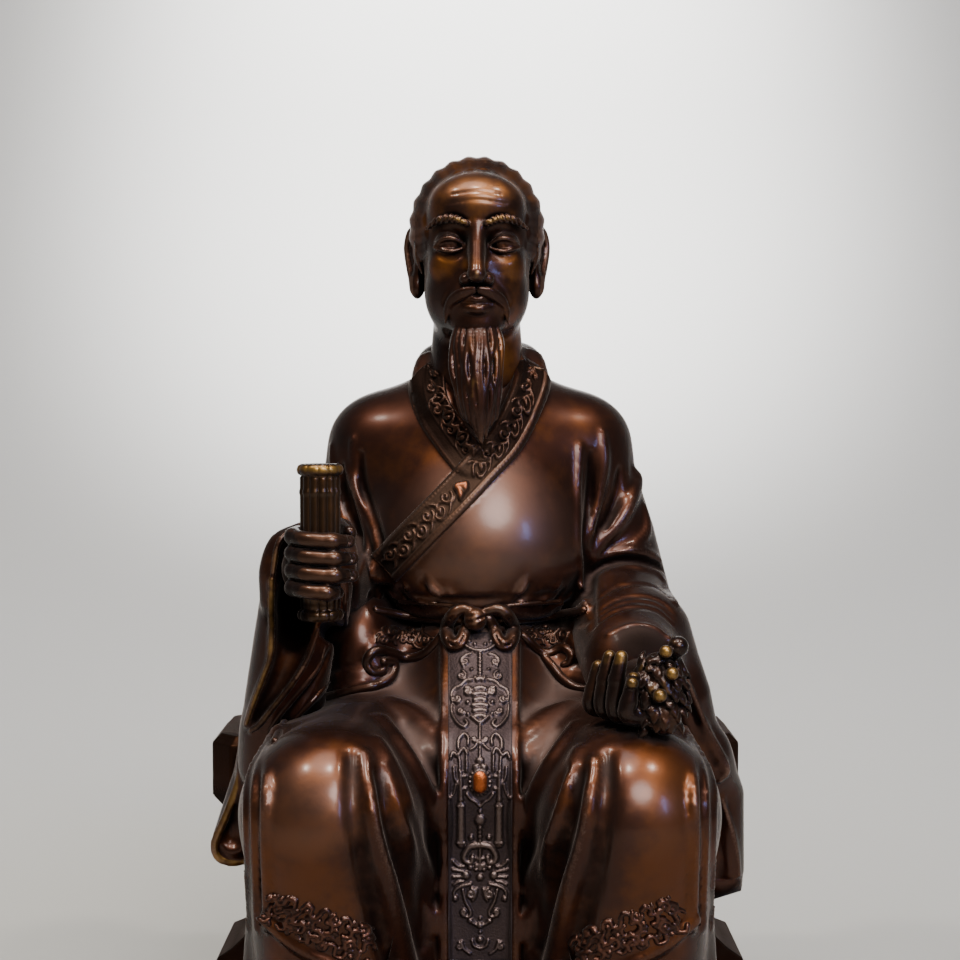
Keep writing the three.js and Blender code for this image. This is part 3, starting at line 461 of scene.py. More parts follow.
SKIRT_RIDGES = [
    ([[-27, 119], [-19.8, 114.2], [-12, 108.3]], 1.0, 3.2, 1.2),
    ([[-29.4, 114], [-23.4, 105], [-18.6, 95.7], [-14.2, 86.4], [-12.6, 80]], 0.6, 2.5, 0.6),
    ([[-30.6, 107], [-26.1, 96.3], [-21.6, 81], [-17.6, 66], [-13.6, 50]], 0.6, 3.2, 1.0),
    ([[-35, 103], [-32.6, 86], [-29, 68], [-24, 48], [-21, 38]], 0.6, 3.0, 1.4),
    ([[27, 118], [19.8, 113.4], [12.9, 108.6]], 1.0, 3.2, 1.2),
    ([[28.5, 112], [23.4, 103.5], [18, 93.3], [14, 84], [12.6, 78]], 0.6, 2.6, 0.6),
    ([[29.4, 104], [26.4, 93], [21.6, 78], [17.4, 64], [13.6, 48]], 0.6, 3.2, 1.0),
    ([[34.6, 101], [32.4, 85], [28.4, 66], [24, 48], [21, 38]], 0.6, 3.0, 1.4),
]
SKIRT_GROOVES = [
    ([[-38.6, 103], [-38.2, 86], [-35.4, 68], [-30.6, 50], [-27, 39]], 0.5, 1.8, 1.0),
    ([[-30.6, 97], [-27, 80], [-22.4, 62], [-17.6, 44]], 0.5, 1.9, 1.0),
    ([[-25.4, 100], [-20.2, 86], [-16, 70], [-13.4, 58]], 0.4, 1.5, 0.6),
    ([[-24, 112], [-18.4, 104], [-13.2, 95]], 0.4, 1.4, 0.5),
    ([[38.6, 103], [38.2, 86], [35.4, 68], [30.6, 50], [27, 39]], 0.5, 1.8, 1.0),
    ([[30.4, 97], [26.8, 80], [22.2, 62], [17.6, 44]], 0.5, 1.9, 1.0),
    ([[25, 98], [20, 85], [15.8, 69], [13.4, 57]], 0.4, 1.5, 0.6),
    ([[23.6, 110], [18, 102], [13.2, 93]], 0.4, 1.4, 0.5),
]


def folds(clay, ridges, grooves, blend):
    for places, first, middle, last in ridges:
        clay.ridge(places, first, last, blend, middle)
    for places, first, middle, last in grooves:
        clay.groove(places, first, last, blend, middle)


def gathers(clay):
    """The cloth above the belt is drawn into small folds, each with a groove below its outer side."""
    for places, width in GATHERS:
        clay.ridge(places, 0.7, 0.8, 0.7, width * 1.5)
        side = math.copysign(1.0, places[0][0])
        clay.groove([[x + side * 1.5, z - 1.7] for x, z in places], 0.4, 0.4, 0.7, width)


def coat_edges(clay):
    """The edges of the open coat run down beside each leg: one broad smooth band and two narrow ones."""
    for side in SIDES:
        for x, width in ((64.2, 1.8), (67.6, 1.3), (70.2, 1.0)):
            places = [[x - 1.6, 111], [x, 96], [x + 0.6, 78], [x, 50]]
            clay.ridge(sided(side, places), width, width, 1.0)


# %% Collar, belt, apron and hem
UNDER_LAPEL = [[-14.6, 221.6], [-15.9, 216.4], [-14.4, 207.9], [-8.4, 198.6], [-5.7, 195], [-2.6, 191]]
OVER_LAPEL = [[14.4, 222.4], [15.6, 216.8], [12.6, 207.6], [7.4, 198], [0.9, 190.7], [-7.4, 181.5],
              [-16.8, 171.9], [-25.2, 163.2], [-28.8, 159.4]]
APRON_TOP, APRON_FOOT = 140.0, 40.0
BELT = [[-33, 147.2], [-21, 146.4], [-10, 145.4], [0, 145], [10, 145.5], [21, 146.6], [32, 147.4]]
FLAP_PLATES = [
    ([[-31.4, 133.5], [-27, 137], [-21, 136.6], [-14, 139.6]], 9.5),
    ([[-28.6, 129], [-34, 127], [-43, 125], [-53, 121.4], [-60, 115]], 7.5),
    ([[13.4, 139.4], [19, 137.6], [24, 138], [27.6, 134.6]], 8.5),
    ([[22, 131.4], [27, 127.6], [33, 126.6]], 7.0),
]
HEM = [[65.4, 52.5], [59, 46.8], [52.5, 42.4], [44, 38.6], [30, 35.4], [13, 34.4]]


def collar(clay):
    for side in SIDES:
        outer = [[0, 15, 225], [11.5, 11, 226], [17, 1, 223], [18.8, -9, 216], [14, -18, 207]]
        inner = [[11.6, -8, 221], [10.4, -16, 213], [7, -22.5, 204], [2, -27, 196]]
        clay.add(cord(sided(side, outer), 3.2, 1.4, 3.0), 4)
        clay.add(cord(sided(side, inner), 2.4, 1.6, 2.4), 0.8)
    clay.band(UNDER_LAPEL, 11, 0.8)
    clay.band(OVER_LAPEL, 11.4, 1.1)


def belt(clay):
    clay.groove([[x, z + 4.4] for x, z in BELT], 0.8, 0.8, 2, 1.3)
    clay.band(BELT, 5.6, 0.9, 0.9)
    clay.groove([[x, z - 4.2] for x, z in BELT], 0.6, 0.6, 2, 1.2)


def apron(clay):
    clay.band([[0, z] for z in np.linspace(APRON_TOP - 2, APRON_FOOT, 7)], 24.4, 0.9, 0.9)
    for side in SIDES:
        clay.ridge([[side * 10.9, z] for z in np.linspace(APRON_TOP - 2, APRON_FOOT, 9)], 1.3, 1.3, 1.2)


def hem(clay):
    """The rolled hem, the pleated skirt below it, and the toes of two cloth shoes."""
    for side in SIDES:
        clay.ridge(sided(side, HEM), 1.8, 2.0, 1.0)
        clay.add(ball([side * 35, -84, BASE_TOP + 5], [11.5, 18, 9.5]), 2)
        for pleat in range(7):
            x = side * (14 + pleat * 7.5)
            clay.groove([[x, 33], [x + side * 0.5, 26], [x + side, 18]], 1.0, 1.4, 1.2)


# %% Both blocks of the robe
upper = Clay([-92, -76, 58], [90, 52, 232], 0.9)
for shape in (trunk, arms, hanging_sleeve, wrapped_sleeve):
    shape(upper)
folds(upper, UPPER_RIDGES, UPPER_GROOVES, 2.2)
gathers(upper)
collar(upper)
belt(upper)

skirt = Clay([-90, -107, BASE_TOP - 3], [90, 60, 160], 1.19)
hips(skirt)
legs(skirt)
folds(skirt, SKIRT_RIDGES, SKIRT_GROOVES, 4)
coat_edges(skirt)
for line, width in FLAP_PLATES:
    skirt.band(line, width, 1.1, 0.9)
apron(skirt)
hem(skirt)
print("robe:", upper.values.shape, skirt.values.shape)


# %% The knot and the rolled edges, which lie on the robe in a finer block of their own
FLAP_EDGES = [
    ([[-10.8, 140.1], [-14.1, 135.9], [-17.7, 132.9], [-22.2, 132.3], [-26.7, 133.8], [-30.6, 134.7],
      [-33.3, 133.2], [-34.2, 130.5], [-32.7, 128.1], [-29.7, 128.1], [-28.8, 129.8]], 1.1),
    ([[-29.1, 131.2], [-25.8, 130.6], [-26.7, 126.9], [-30, 124.5], [-34.2, 123.3], [-42.6, 121.3],
      [-51.9, 118.2], [-58.5, 113], [-62, 107]], 1.15),
    ([[10.8, 140.7], [14.1, 138], [17.4, 134.7], [21, 133.8], [23.7, 135.3], [26.1, 135], [27.6, 133.2],
      [27, 131.1], [25.2, 130.2]], 1.1),
    ([[19.5, 132.3], [21.9, 129.6], [24.6, 126.3], [28.2, 123.6], [31.5, 123], [34.5, 123.4]], 1.1),
]
LOOP = [[1.8, 146.7], [5.4, 147.4], [8.3, 145.4], [9.9, 142], [9.8, 138.8], [8.2, 136.6], [6.2, 136.9],
        [5, 138.9], [4.2, 141.6], [2.8, 144.4]]
UPPER_CORD = [[24, 149.4], [14, 148.8], [3, 147.6]]
LOWER_CORD = [[31.4, 146.8], [21, 145], [10.2, 143.8], [3, 144]]


def on_front(places, sink=0.0):
    """The nearer of the points that the camera sees on the two blocks of the robe."""
    a, b = upper.seen(places, sink), skirt.seen(places, sink)
    return np.where((a[:, 1] < b[:, 1])[:, None], a, b)


def knot_and_edges(clay):
    for places, width in FLAP_EDGES:
        clay.add(cord(skirt.seen(places, width * 0.3), width * 1.3, width * 1.1, width * 1.5), 0.5)
    for rim in (OUTER_RIM, INNER_RIM, CUFF):
        clay.add(cord(upper.seen(rim, 0.3), 0.9, 0.7, 1.0), 0.3)
    for places, first, middle, last in SLEEVE_FOLDS:
        clay.add(cord(upper.seen(places, 0.5), first, last, middle), 0.4)
    for side in SIDES:
        for places, width in ((UPPER_CORD, 0.8), (LOWER_CORD, 1.4)):
            clay.add(cord(on_front(sided(side, places), width * 0.3), width), 0.4)
        line = on_front(sided(side, LOOP), 0.2) - [0, 1.6, 0]
        clay.add(cord(line, 1.3, 1.5, 2.3), 0.4)
        clay.cut(cord(line - [0, 2.2, 0], 0.2, 0.2, 0.35), 0.4)
        clay.add(ball(on_front([[side * 6.4, 140.8]])[0] - [0, 0.6, 0], [1.2, 1.4, 1.4]), 0.3)
    middle = on_front([[-1.4, 144.4]])[0] - [0, 2.4, 0]
    clay.add(ball(middle, [3.5, 3.4, 3.7]), 0.2)
    for up in (-1.8, 0, 1.8):
        wrap = middle + np.array([[-3.2, -1.2, up - 1], [0, -3.6, up], [3.2, -1.2, up + 1]])
        clay.cut(cord(wrap, 0.3, 0.3, 0.5), 0.3)


trim = Clay([-78, -84, 98], [40, -14, 176], 0.5)
knot_and_edges(trim)
print("knot and edges:", trim.values.shape)

# %% [markdown]
# ## The head
# A calm old man's head to the usual canon, made for this figure: the eyes are at half the head's height,
# and brow, foot of the nose and chin lie a third of the face apart. The hair is combed back in locks
# from an arch behind the bald forehead, the brows are twisted like rope, and the moustache and the beard
# are waved strands.

# %% Skull and face
def on_head(x, y, z):
    return [HEAD_X + x, -10 + y, CROWN - HEAD_HEIGHT / 2 + z]


def on_side(side, *places):
    """Places of the head, given for the viewer's right and mirrored where the side is -1."""
    return [on_head(side * x, y, z) for x, y, z in places]


SKULL_CENTRE, SKULL_RADII = np.array(on_head(0, 1, 6)), (18.6, 23, 20.2)


def skull(clay):
    clay.add(ball(SKULL_CENTRE, SKULL_RADII), 2)
    clay.add(ball(on_head(0, -6, -9), [15.6, 17, 19.5]), 6)
    clay.add(limb(on_head(0, 5, -14), on_head(0, 7, -42), 13, 15.5), 5)
    clay.add(limb(on_head(0, -1, -22), on_head(0, 3, -40), 8.5, 13), 5)
    clay.add(ball(on_head(0, -17.4, -24.5), [7.5, 6.4, 4.8]), 5)
    for side in SIDES:
        clay.add(ball(on_head(side * 8.0, -8, -17), [5.8, 8.4, 7]), 8)
        clay.add(ball(on_head(side * 9.4, -14.8, -6), [4.6, 5, 4.4]), 4)
    clay.add(ball(on_head(0, -15, 13), [13.5, 8.5, 8]), 6)


def eye(clay, side):
    """A socket, the ball in it, two lids, the fold over the upper one and the bag below."""
    upper_lid = on_side(side, (3.4, -21, -0.9), (5.8, -22.1, 1.0), (8.4, -22.3, 1.5), (11, -21.1, 0.8),
                        (13, -18.8, -0.9))
    lower_lid = on_side(side, (3.4, -21, -1), (6, -21.8, -2.1), (8.6, -21.8, -2.3), (11, -20.6, -1.7),
                        (13, -18.8, -0.9))
    crease = on_side(side, (4.2, -22.1, 2.2), (8.2, -22.9, 3.9), (12.4, -20.5, 2.4))
    bag = on_side(side, (4.4, -22, -3.6), (8.4, -22, -5.2), (12, -19.8, -3.8))
    clay.cut(ball(on_head(side * 8.2, -26.2, 0.4), [6.4, 6.4, 4.2]), 3.5)
    clay.add(ball(on_head(side * 8.2, -17.2, 0), [4.9, 4.6, 4.2]), 0.6)
    clay.add(cord(upper_lid, 0.4, 0.4, 0.85), 0.5)
    clay.add(cord(lower_lid, 0.4, 0.4, 0.65), 0.5)
    clay.cut(cord(crease, 0.25, 0.25, 0.45), 0.5)
    clay.cut(cord(bag, 0.2, 0.2, 0.5), 0.9)
    clay.cut(ball(on_head(side * 8.3, -22.4, -0.4), [1.1, 0.9, 1.1]), 0.3)


def nose_and_mouth(clay):
    clay.add(limb(on_head(0, -21.6, 4), on_head(0, -26.6, -9), 1.9, 2.6), 3)
    clay.add(ball(on_head(0, -27.2, -10), [2.7, 2.4, 2.3]), 1.2)
    clay.add(ball(on_head(0, -17.5, -17), [9.5, 6.6, 7]), 4)
    for side in SIDES:
        clay.add(ball(on_head(side * 3.4, -24.4, -11), [2, 2.6, 1.9]), 0.9)
        clay.cut(ball(on_head(side * 1.7, -26.4, -12.7), [0.9, 1.3, 0.7]), 0.4)
        cheek_line = on_side(side, (5, -23.8, -10), (8, -22.4, -13.5), (10, -20, -18))
        clay.cut(cord(cheek_line, 0.3, 0.3, 0.6), 1.4)
    upper_lip = on_side(1, (-6.2, -21.8, -17.7), (-2, -24, -16.9), (0, -24.2, -17.2), (2, -24, -16.9),
                        (6.2, -21.8, -17.7))
    clay.add(cord(upper_lip, 0.5, 0.5, 1.3), 0.6)
    clay.add(cord(on_side(1, (-5.4, -21.6, -18.8), (0, -23.9, -20), (5.4, -21.6, -18.8)), 0.5, 0.5, 1.8), 0.6)
    clay.cut(cord(on_side(1, (-6.4, -23, -18), (0, -25.4, -18.3), (6.4, -23, -18)), 0.3, 0.3, 0.4), 0.4)


def ear(clay, side):
    rim = on_side(side, (17.4, -1, 2), (19, 0.4, 5.6), (21, 3.6, 5.8), (22, 5.4, 1), (20.8, 3.8, -6),
                  (19, 1, -12))
    clay.add(ball(on_head(side * 18.4, 2.2, -3), [1.9, 4.4, 8.6]), 2)
    clay.add(cord(rim, 0.9, 1.9, 1.2), 0.8)
    clay.add(cord(on_side(side, (19.4, 1.4, 3.4), (20.6, 3.2, 1), (19.8, 2.4, -4)), 0.5, 0.7, 0.8), 0.5)
    clay.add(ball(on_head(side * 18.8, 1, -11.6), [2, 2.8, 4]), 2)
    clay.cut(ball(on_head(side * 20.4, 0.2, -1.6), [1.6, 1.6, 3]), 0.6)
    clay.add(ball(on_head(side * 18.4, -1.6, -3.4), [1.2, 1.2, 1.7]), 0.6)


def wrinkles(clay):
    for row, width in ((12.4, 9), (15.0, 7.5)):
        line = [on_head(x, 0, row + 0.5 * math.cos(x * 0.3)) for x in np.linspace(-width, width, 7)]
        for point in line:
            point[1] = first_hit(clay, point[0], point[2])
        clay.cut(cord(line, 0.05, 0.05, 0.12), 0.8)


def first_hit(clay, x, z):
    """The depth at which a straight look from the front meets the surface."""
    step = 0.25
    ys = np.arange(-60, 20, step)
    values = clay.at(np.column_stack([np.full(len(ys), x), ys, np.full(len(ys), z)]))
    k = np.argmax(values < 0)
    return ys[k - 1] + step * values[k - 1] / (values[k - 1] - values[k])


# %% Hair, brows, moustache and beard
def twisted(clay, points, first, last, middle, turns):
    """A lock like a rope: a cord that swells, with two grooves that wind along it."""
    clay.add(cord(points, first, last, middle, steps=6), 0.5)
    line = curve(points, 8)
    size = swell(len(line), first, last, middle)
    for start in (0.0, math.pi):
        angle = start + turns * 2 * math.pi * np.linspace(0, 1, len(line))
        around = np.column_stack([0 * angle, np.cos(angle), np.sin(angle)]) * size[:, None] * 1.02
        clay.cut(chain(line + around, size * 0.22 + 0.05), 0.25)


def hair(clay):
    """Locks from an arch behind the forehead to a low knot at the back, each grooved along its length."""

    def on_skull(turn, forward, lift):
        share = math.sqrt(1 - (forward / SKULL_RADII[1]) ** 2)
        across = math.sin(turn) * share * (SKULL_RADII[0] + lift)
        up = math.cos(turn) * share * (SKULL_RADII[2] + lift)
        return SKULL_CENTRE + [across, forward * (1 + lift / 40), up]

    knot = SKULL_CENTRE + [0, 22.5, -4]
    locks, arch = 16, 112
    for n in range(locks):
        turn = math.radians(-arch + 2 * arch * n / (locks - 1))
        sway = 1.2 if n % 2 else 0.0
        for groove in range(-1, 2):
            lean = turn + groove * 0.075
            lift = 0.4 - 0.45 * abs(groove)
            rear = on_skull(lean * 0.7, 21, 1.0 + lift)
            path = [on_skull(lean, -11.5 - sway, lift - 0.6), on_skull(lean, -4, lift + 0.9),
                    on_skull(lean * 0.98, 6, lift + 0.6), on_skull(lean * 0.9, 14, lift + 1.2),
                    rear * 0.6 + knot * 0.4]
            clay.add(cord(path, 1.2, 1.3, 1.85, steps=5), 0.8)
    clay.add(ball(knot, [6.6, 4.2, 5.6]), 1)
    for turn in np.linspace(0, 2 * math.pi, 9, endpoint=False):
        path = [knot + [6.4 * math.cos(turn), 1, 5.4 * math.sin(turn)],
                knot + [4 * math.cos(turn + 0.5), 4.2, 3.4 * math.sin(turn + 0.5)], knot + [0.6, 5, 0.4]]
        clay.add(cord(path, 1.2, 0.8, 1.3), 0.3)
    for side in SIDES:
        for n in range(4):
            path = on_side(side, (18.2 - n * 0.2, -6 + n * 1.6, 2 - n * 0.4), (18.4, -5 + n * 1.8, -3),
                           (17, -4 + n * 1.4, -8))
            clay.add(cord(path, 0.9, 0.4, 0.9), 0.4)


def brows_and_moustache(clay):
    for side in SIDES:
        brow = on_side(side, (3.2, -24, 5.9), (7, -24.2, 7.2), (11.4, -22, 6.9), (15.2, -17.6, 4.8))
        twisted(clay, brow, 1.1, 0.7, 1.5, turns=4)
        for n in range(3):
            path = on_side(side, (0.8, -26 + n * 0.2, -13.8 - n * 0.5), (4.6, -25 + n * 0.3, -14.6 - n * 0.9),
                           (8.2, -22 + n * 0.4, -17 - n * 1.1), (10.2 - n * 0.3, -19.4, -21.5 - n * 1.4))
            clay.add(cord(path, 0.7, 0.3, 0.95, steps=6), 0.3)


def beard(clay):
    """A long narrow beard of waved strands, in two layers, whose ends part over the collar."""
    clay.add(cord(on_side(1, (0, -16, -26), (0, -19, -40), (1, -22, -53)), 4.6, 2), 1.5)
    for layer, count in ((0, 9), (1, 11)):
        for n in range(count):
            side = n / (count - 1) * 2 - 1
            wave = math.sin(n * 2.4 + layer) * 0.7
            curl = math.sin(n * 1.3 + 2 * layer) * 0.9
            back = side * side * 3.4 + (1.0 if layer == 0 else 0.0)
            drop = -59.5 + 6 * side * side + 1.2 * math.cos(n * 2.6)
            path = [on_head(side * 5.0, -21 + back * 0.4, -22.5),
                    on_head(side * 7.4 + wave * 0.5, -24.8 + back, -30),
                    on_head(side * 7.0 - wave, -26.6 + back, -38),
                    on_head(side * 6.2 + wave * 0.6 + 0.4, -27.2 + back, -46),
                    on_head(side * 4.6 + curl * 0.4 + 0.9, -26.8 + back, -53),
                    on_head(side * 2.4 + curl * 0.3 + 1.2, -25.4 + back * 0.6, drop)]
            clay.add(cord(path, 0.8, 0.45, 0.98, steps=6), 0.1)


head = Clay([-30, -44, 194], [28, 24, CROWN + 4], 0.46)
skull(head)
for side in SIDES:
    eye(head, side)
nose_and_mouth(head)
for side in SIDES:
    ear(head, side)
for shape in (wrinkles, hair, brows_and_moustache, beard):
    shape(head)
print("head:", head.values.shape)

# %% [markdown]
# ## The hands
# Fingers are cords bent round what they hold. The fist has four fingers one above the other round the
# roll of bamboo slips, and the open hand curls its fingers up beside the herbs.

# %% The fist and the open hand
def fist(clay):
    x, y, z = FIST
    clay.add(ball([x - 3.4, y + 4, z], [5.6, 9, 10]), 3)
    clay.add(limb([x - 3, y + 6, z - 2], [x - 1, y + 22, z - 5], 8, 9), 4)
    for n in range(4):
        up = z + 8.2 - n * 5
        short = 2.2 if n == 3 else 0.5 if n == 0 else 0.0
        path = [[x - 6, y + 3, up + 0.8], [x - 6.6, y - 5, up + 0.5], [x - 1.5, y - 10.6, up],
                [x + 6.6 - short, y - 10.6, up - 0.5], [x + 10.8 - short * 2, y - 5.8, up - 0.9]]
        clay.add(cord(path, 2.4, 1.9, 2.35, steps=6), 0.2)
        for knuckle in ([x - 6.6, y - 5.6, up + 0.5], [x + 5.6 - short, y - 10.8, up - 0.4]):
            clay.add(ball(knuckle, [2.5, 2.5, 2.45]), 1.2)
        for bend in (x - 2.2, x + 1.4, x + 8.2 - short):
            across = [[bend, y - 13.6, up + 1.8], [bend, y - 14.4, up - 0.3], [bend, y - 13.6, up - 2.4]]
            clay.cut(cord(across, 0.3), 0.8)
        clay.cut(ball([x + 10.9 - short, y - 8.4, up - 0.7], [1.7, 0.9, 1.3]), 0.3)
    clay.add(cord([[x - 1, y + 7, z + 9], [x + 6, y + 6, z + 11], [x + 9.5, y - 1, z + 9.5]], 3, 2.2), 0.8)


FINGER_HEIGHTS = (10.5, 14, 14.5, 9)


def fingertip(n):
    """The end of one of the open hand's fingers, counted from the little finger."""
    return PALM[0] - 12 + n * 3, PALM[1] - 1 - n * 4.4, PALM[2] + FINGER_HEIGHTS[n]


def open_hand(clay):
    x, y, z = PALM
    clay.add(limb([x + 1, y + 22, z + 6], [x + 1, y + 2, z], 9, 8.5), 4)
    clay.add(ball([x, y - 2, z], [11, 13, 6.5]), 3)
    for n in range(4):
        tx, ty, tz = fingertip(n)
        path = [[x - 5 + n * 2, y + 1 - n * 4, z - 2], [tx - 1.6, ty, z - 1], [tx - 1.2, ty - 0.6, tz - 6],
                [tx, ty, tz]]
        clay.add(cord(path, 2.9, 1.9, 2.5, steps=6), 0.5)
        clay.add(ball([tx - 1.4, ty - 0.4, tz - 6.4], [2.4, 2.3, 2]), 0.8)


# %% The herbs: stalks, leaves that hang over the edge, and round buds
GOLDEN_TURN = 2.4  # the golden angle in radians, by which turns never line up
BUDS = ((51.8, -81, 140, 1.9), (53.5, -82, 134, 1.9), (50, -83, 128, 2), (55.5, -78, 141, 3),
        (42.5, -80, 131, 1.8))


def herbs(clay):
    x, y, z = PALM[0] + 5, PALM[1] - 9, PALM[2] + 7
    clay.add(ball([x, y, z], [7.2, 7.2, 8.8]), 2)
    clay.add(ball([x + 1, y - 3, z - 9], [4.8, 4.4, 5.4]), 2)
    leaves = 66
    for n in range(leaves):
        turn, fall = n * GOLDEN_TURN, n / (leaves - 1)
        out = 8.4 * math.sqrt(1 - (fall * 2 - 1) ** 2 * 0.6)
        aside, forward = math.sin(turn), -abs(math.cos(turn))
        root = np.array([x + aside * out * 0.8, y + forward * out * 0.8, z + 9.5 - fall * 21])
        away = np.array([aside * 0.6, -0.5, -0.9 + 0.5 * math.sin(n * 1.7)])
        across = np.cross(away, [aside, forward, 0])
        across = across / max(np.linalg.norm(across), 0.1)
        tip = root + away * 3.3
        for rib in (-1, 0, 1):
            spread = across * rib * 0.8
            middle = (root + tip) / 2 + spread
            clay.add(cord([root + spread * 0.3, middle, tip], 0.5, 0.35, 0.72, steps=3), 0.2)
    for u, v, w, radius in BUDS:
        clay.add(limb([u, v, w], [u, v + 4, w - 1], radius, 1.2), 0.3)


raised_hand = Clay([-64, -68, 146], [-30, -20, 180], 0.5)
fist(raised_hand)
resting_hand = Clay([26, -92, 104], [66, -34, 149], 0.5)
open_hand(resting_hand)
herbs(resting_hand)
print("hands:", raised_hand.values.shape, resting_hand.values.shape)

# %% [markdown]
# ## Turned and cut pieces
# The roll of slips, the block seat and the base are regular, so each is a surface of two parameters: an
# outline carried up a profile, with a row of points for each height.

# %% Surfaces of two parameters
END_RINGS = (0.002, 0.5)  # the sizes of the rings that close an end
CORNER_SHRINK = 0.41  # how much of an inset a cut corner's chamfer loses


def grid_faces(rows, columns, closed=False):
    """Four-cornered faces between a grid's points, and round the last column to the first if closed."""
    i, j = np.meshgrid(np.arange(rows - 1), np.arange(columns if closed else columns - 1), indexing="ij")
    here, beyond, right = i * columns, (i + 1) * columns, (j + 1) % columns
    return np.stack([here + j, here + right, beyond + right, beyond + j], -1).reshape(-1, 4)


def lofted(rings):
    """A closed surface through rings with the same number of points; its ends shrink to their middles."""
    first, last = rings[0].mean(0), rings[-1].mean(0)
    rows = [first + (rings[0] - first) * share for share in END_RINGS] + list(rings)
    rows += [last + (rings[-1] - last) * share for share in END_RINGS[::-1]]
    return np.vstack(rows), grid_faces(len(rows), len(rings[0]), closed=True)


def soft_outline(corners, radius):
    """A polygon with each corner rounded: a parabola from the radius before it to the radius after it, and
    evenly spaced points on the straight sides between."""
    corners = np.asarray(corners, float)
    t = np.linspace(0, 1, 7)[:, None]
    spots = []
    for before, here, after in zip(np.roll(corners, 1, 0), corners, np.roll(corners, -1, 0)):
        start = here + (before - here) * radius / np.linalg.norm(before - here)
        end = here + (after - here) * radius / np.linalg.norm(after - here)
        far = after + (here - after) * radius / np.linalg.norm(here - after)
        spots.append(start * (1 - t) ** 2 + 2 * here * t * (1 - t) + end * t**2)
        spots.append(end + (far - end) * np.linspace(0, 1, 14)[1:-1, None])
    return np.vstack(spots)


def chamfered(left, front, right, back, chamfer):
    """A rectangle's corners, each cut off by a chamfer."""
    c = chamfer
    return [(left + c, front), (right - c, front), (right, front + c), (right, back - c),
            (right - c, back), (left + c, back), (left, back - c), (left, front + c)]


def moulding(left, front, right, back, chamfer, profile, radius=0.9):
    """An outline carried up a profile of (inset, height) pairs, and closed above and below."""
    rings = []
    for inset, height in profile:
        cut = chamfer - inset * CORNER_SHRINK
        ring = soft_outline(chamfered(left + inset, front + inset, right - inset, back - inset, cut), radius)
        rings.append(np.column_stack([ring, np.full(len(ring), height)]))
    return lofted(rings)


def arc_steps(inset_from, inset_to, z_from, z_to, steps=5, hollow=False):
    """A quarter round, or a hollow one, between two places of a profile."""
    t = np.linspace(0, math.pi / 2, steps)
    a, b = (1 - np.cos(t), np.sin(t)) if not hollow else (np.sin(t), 1 - np.cos(t))
    return [(inset_from + (inset_to - inset_from) * u, z_from + (z_to - z_from) * v) for u, v in zip(a, b)]


# %% The roll of bamboo slips
def bamboo_roll():
    """A ring of round staves: the radius is largest in the middle of each stave. Both ends have a round rim,
    and the end faces show the slips rolled up as a spiral groove."""
    s = SCROLL
    staves, around = 12, 192
    angle = np.linspace(0, 2 * math.pi, around, endpoint=False)
    flute = np.abs(np.sin(angle * staves / 2)) ** 0.6
    rings = []
    low, high, r = s["low"], s["high"], s["radius"]

    def ring(z, radius, fluting):
        size = radius - 0.75 * fluting * (1 - flute)
        x, y = s["x"] + size * np.cos(angle), s["y"] + size * np.sin(angle)
        rings.append(np.column_stack([x, y, np.full(around, z)]))

    def end(z0, turn):
        for n in range(14):
            size = 0.3 + n * 0.42
            deep = 0.55 * (0.5 + 0.5 * math.cos(n * 2.1))
            ring(z0 - turn * deep * (n < 12), size, 0)

    def rim(z0):
        for t in np.linspace(-1, 1, 11):
            ring(z0 + 1.7 * t, r - 0.4 + 1.3 * math.sqrt(max(1 - t * t, 0)), 0.35)

    end(low + 0.2, -1)
    rim(low + 1.9)
    for z in np.linspace(low + 4.2, high - 4.2, 60):
        band = 0.25 * (abs((z - low) % 15.5 - 7) < 0.8)
        ring(z, r + band, 1)
    rim(high - 1.9)
    rings_top = len(rings)
    end(high - 0.2, 1)
    rings[rings_top:] = rings[rings_top:][::-1]
    return lofted(rings)


# %% The block seat and the base
def seat():
    half = SEAT_HALF_WIDTH
    slab = [(4.2, SEAT_TOP - 25.4)] + arc_steps(4.0, 3.6, SEAT_TOP - 25.2, SEAT_TOP - 24.8, 3)
    slab += arc_steps(0.4, 0, SEAT_TOP - 20.6, SEAT_TOP - 20, 3) + [(0, SEAT_TOP - 12), (0, SEAT_TOP - 3.4)]
    slab += arc_steps(0.1, 0.5, SEAT_TOP - 3.0, SEAT_TOP - 2.4, 3)
    slab += arc_steps(2.4, 3.0, SEAT_TOP - 0.4, SEAT_TOP, 3) + [(6, SEAT_TOP)]
    waist = [(-10, BASE_TOP + 0.5), (-11.6, BASE_TOP + 3), (-11.8, BASE_TOP + 6), (-10.5, BASE_TOP + 9.5),
             (-6, BASE_TOP + 12), (-2.5, BASE_TOP + 15), (-0.6, BASE_TOP + 20), (0, BASE_TOP + 30),
             (0, SEAT_TOP - 32), (-1.5, SEAT_TOP - 28), (-4, SEAT_TOP - 25)]
    return [moulding(-half - 2, 0, half - 1, 50, 7, slab), moulding(-76, 5, 76, 46, 6, waist)]


def base():
    b = BASE
    profile = [(0.8, 0.0), (0.2, 0.5), (0, 1.5), (0, 7.5)] + arc_steps(0, 1.8, 7.8, 10)
    profile += arc_steps(3.4, 4.6, 10, 12.4, hollow=True)[::-1] + [(4.2, 14.2)]
    profile += arc_steps(4.2, 6.0, 14.6, BASE_TOP) + [(9, BASE_TOP)]
    return moulding(-b["half_width"], b["front"], b["half_width"], b["back"], b["corner"], profile, 6)


roll, low_base = bamboo_roll(), base()
seat_slab, seat_block = seat()
print("points of the roll, the seat's slab and block, and the base:",
      [len(points) for points, _ in (roll, seat_slab, seat_block, low_base)])

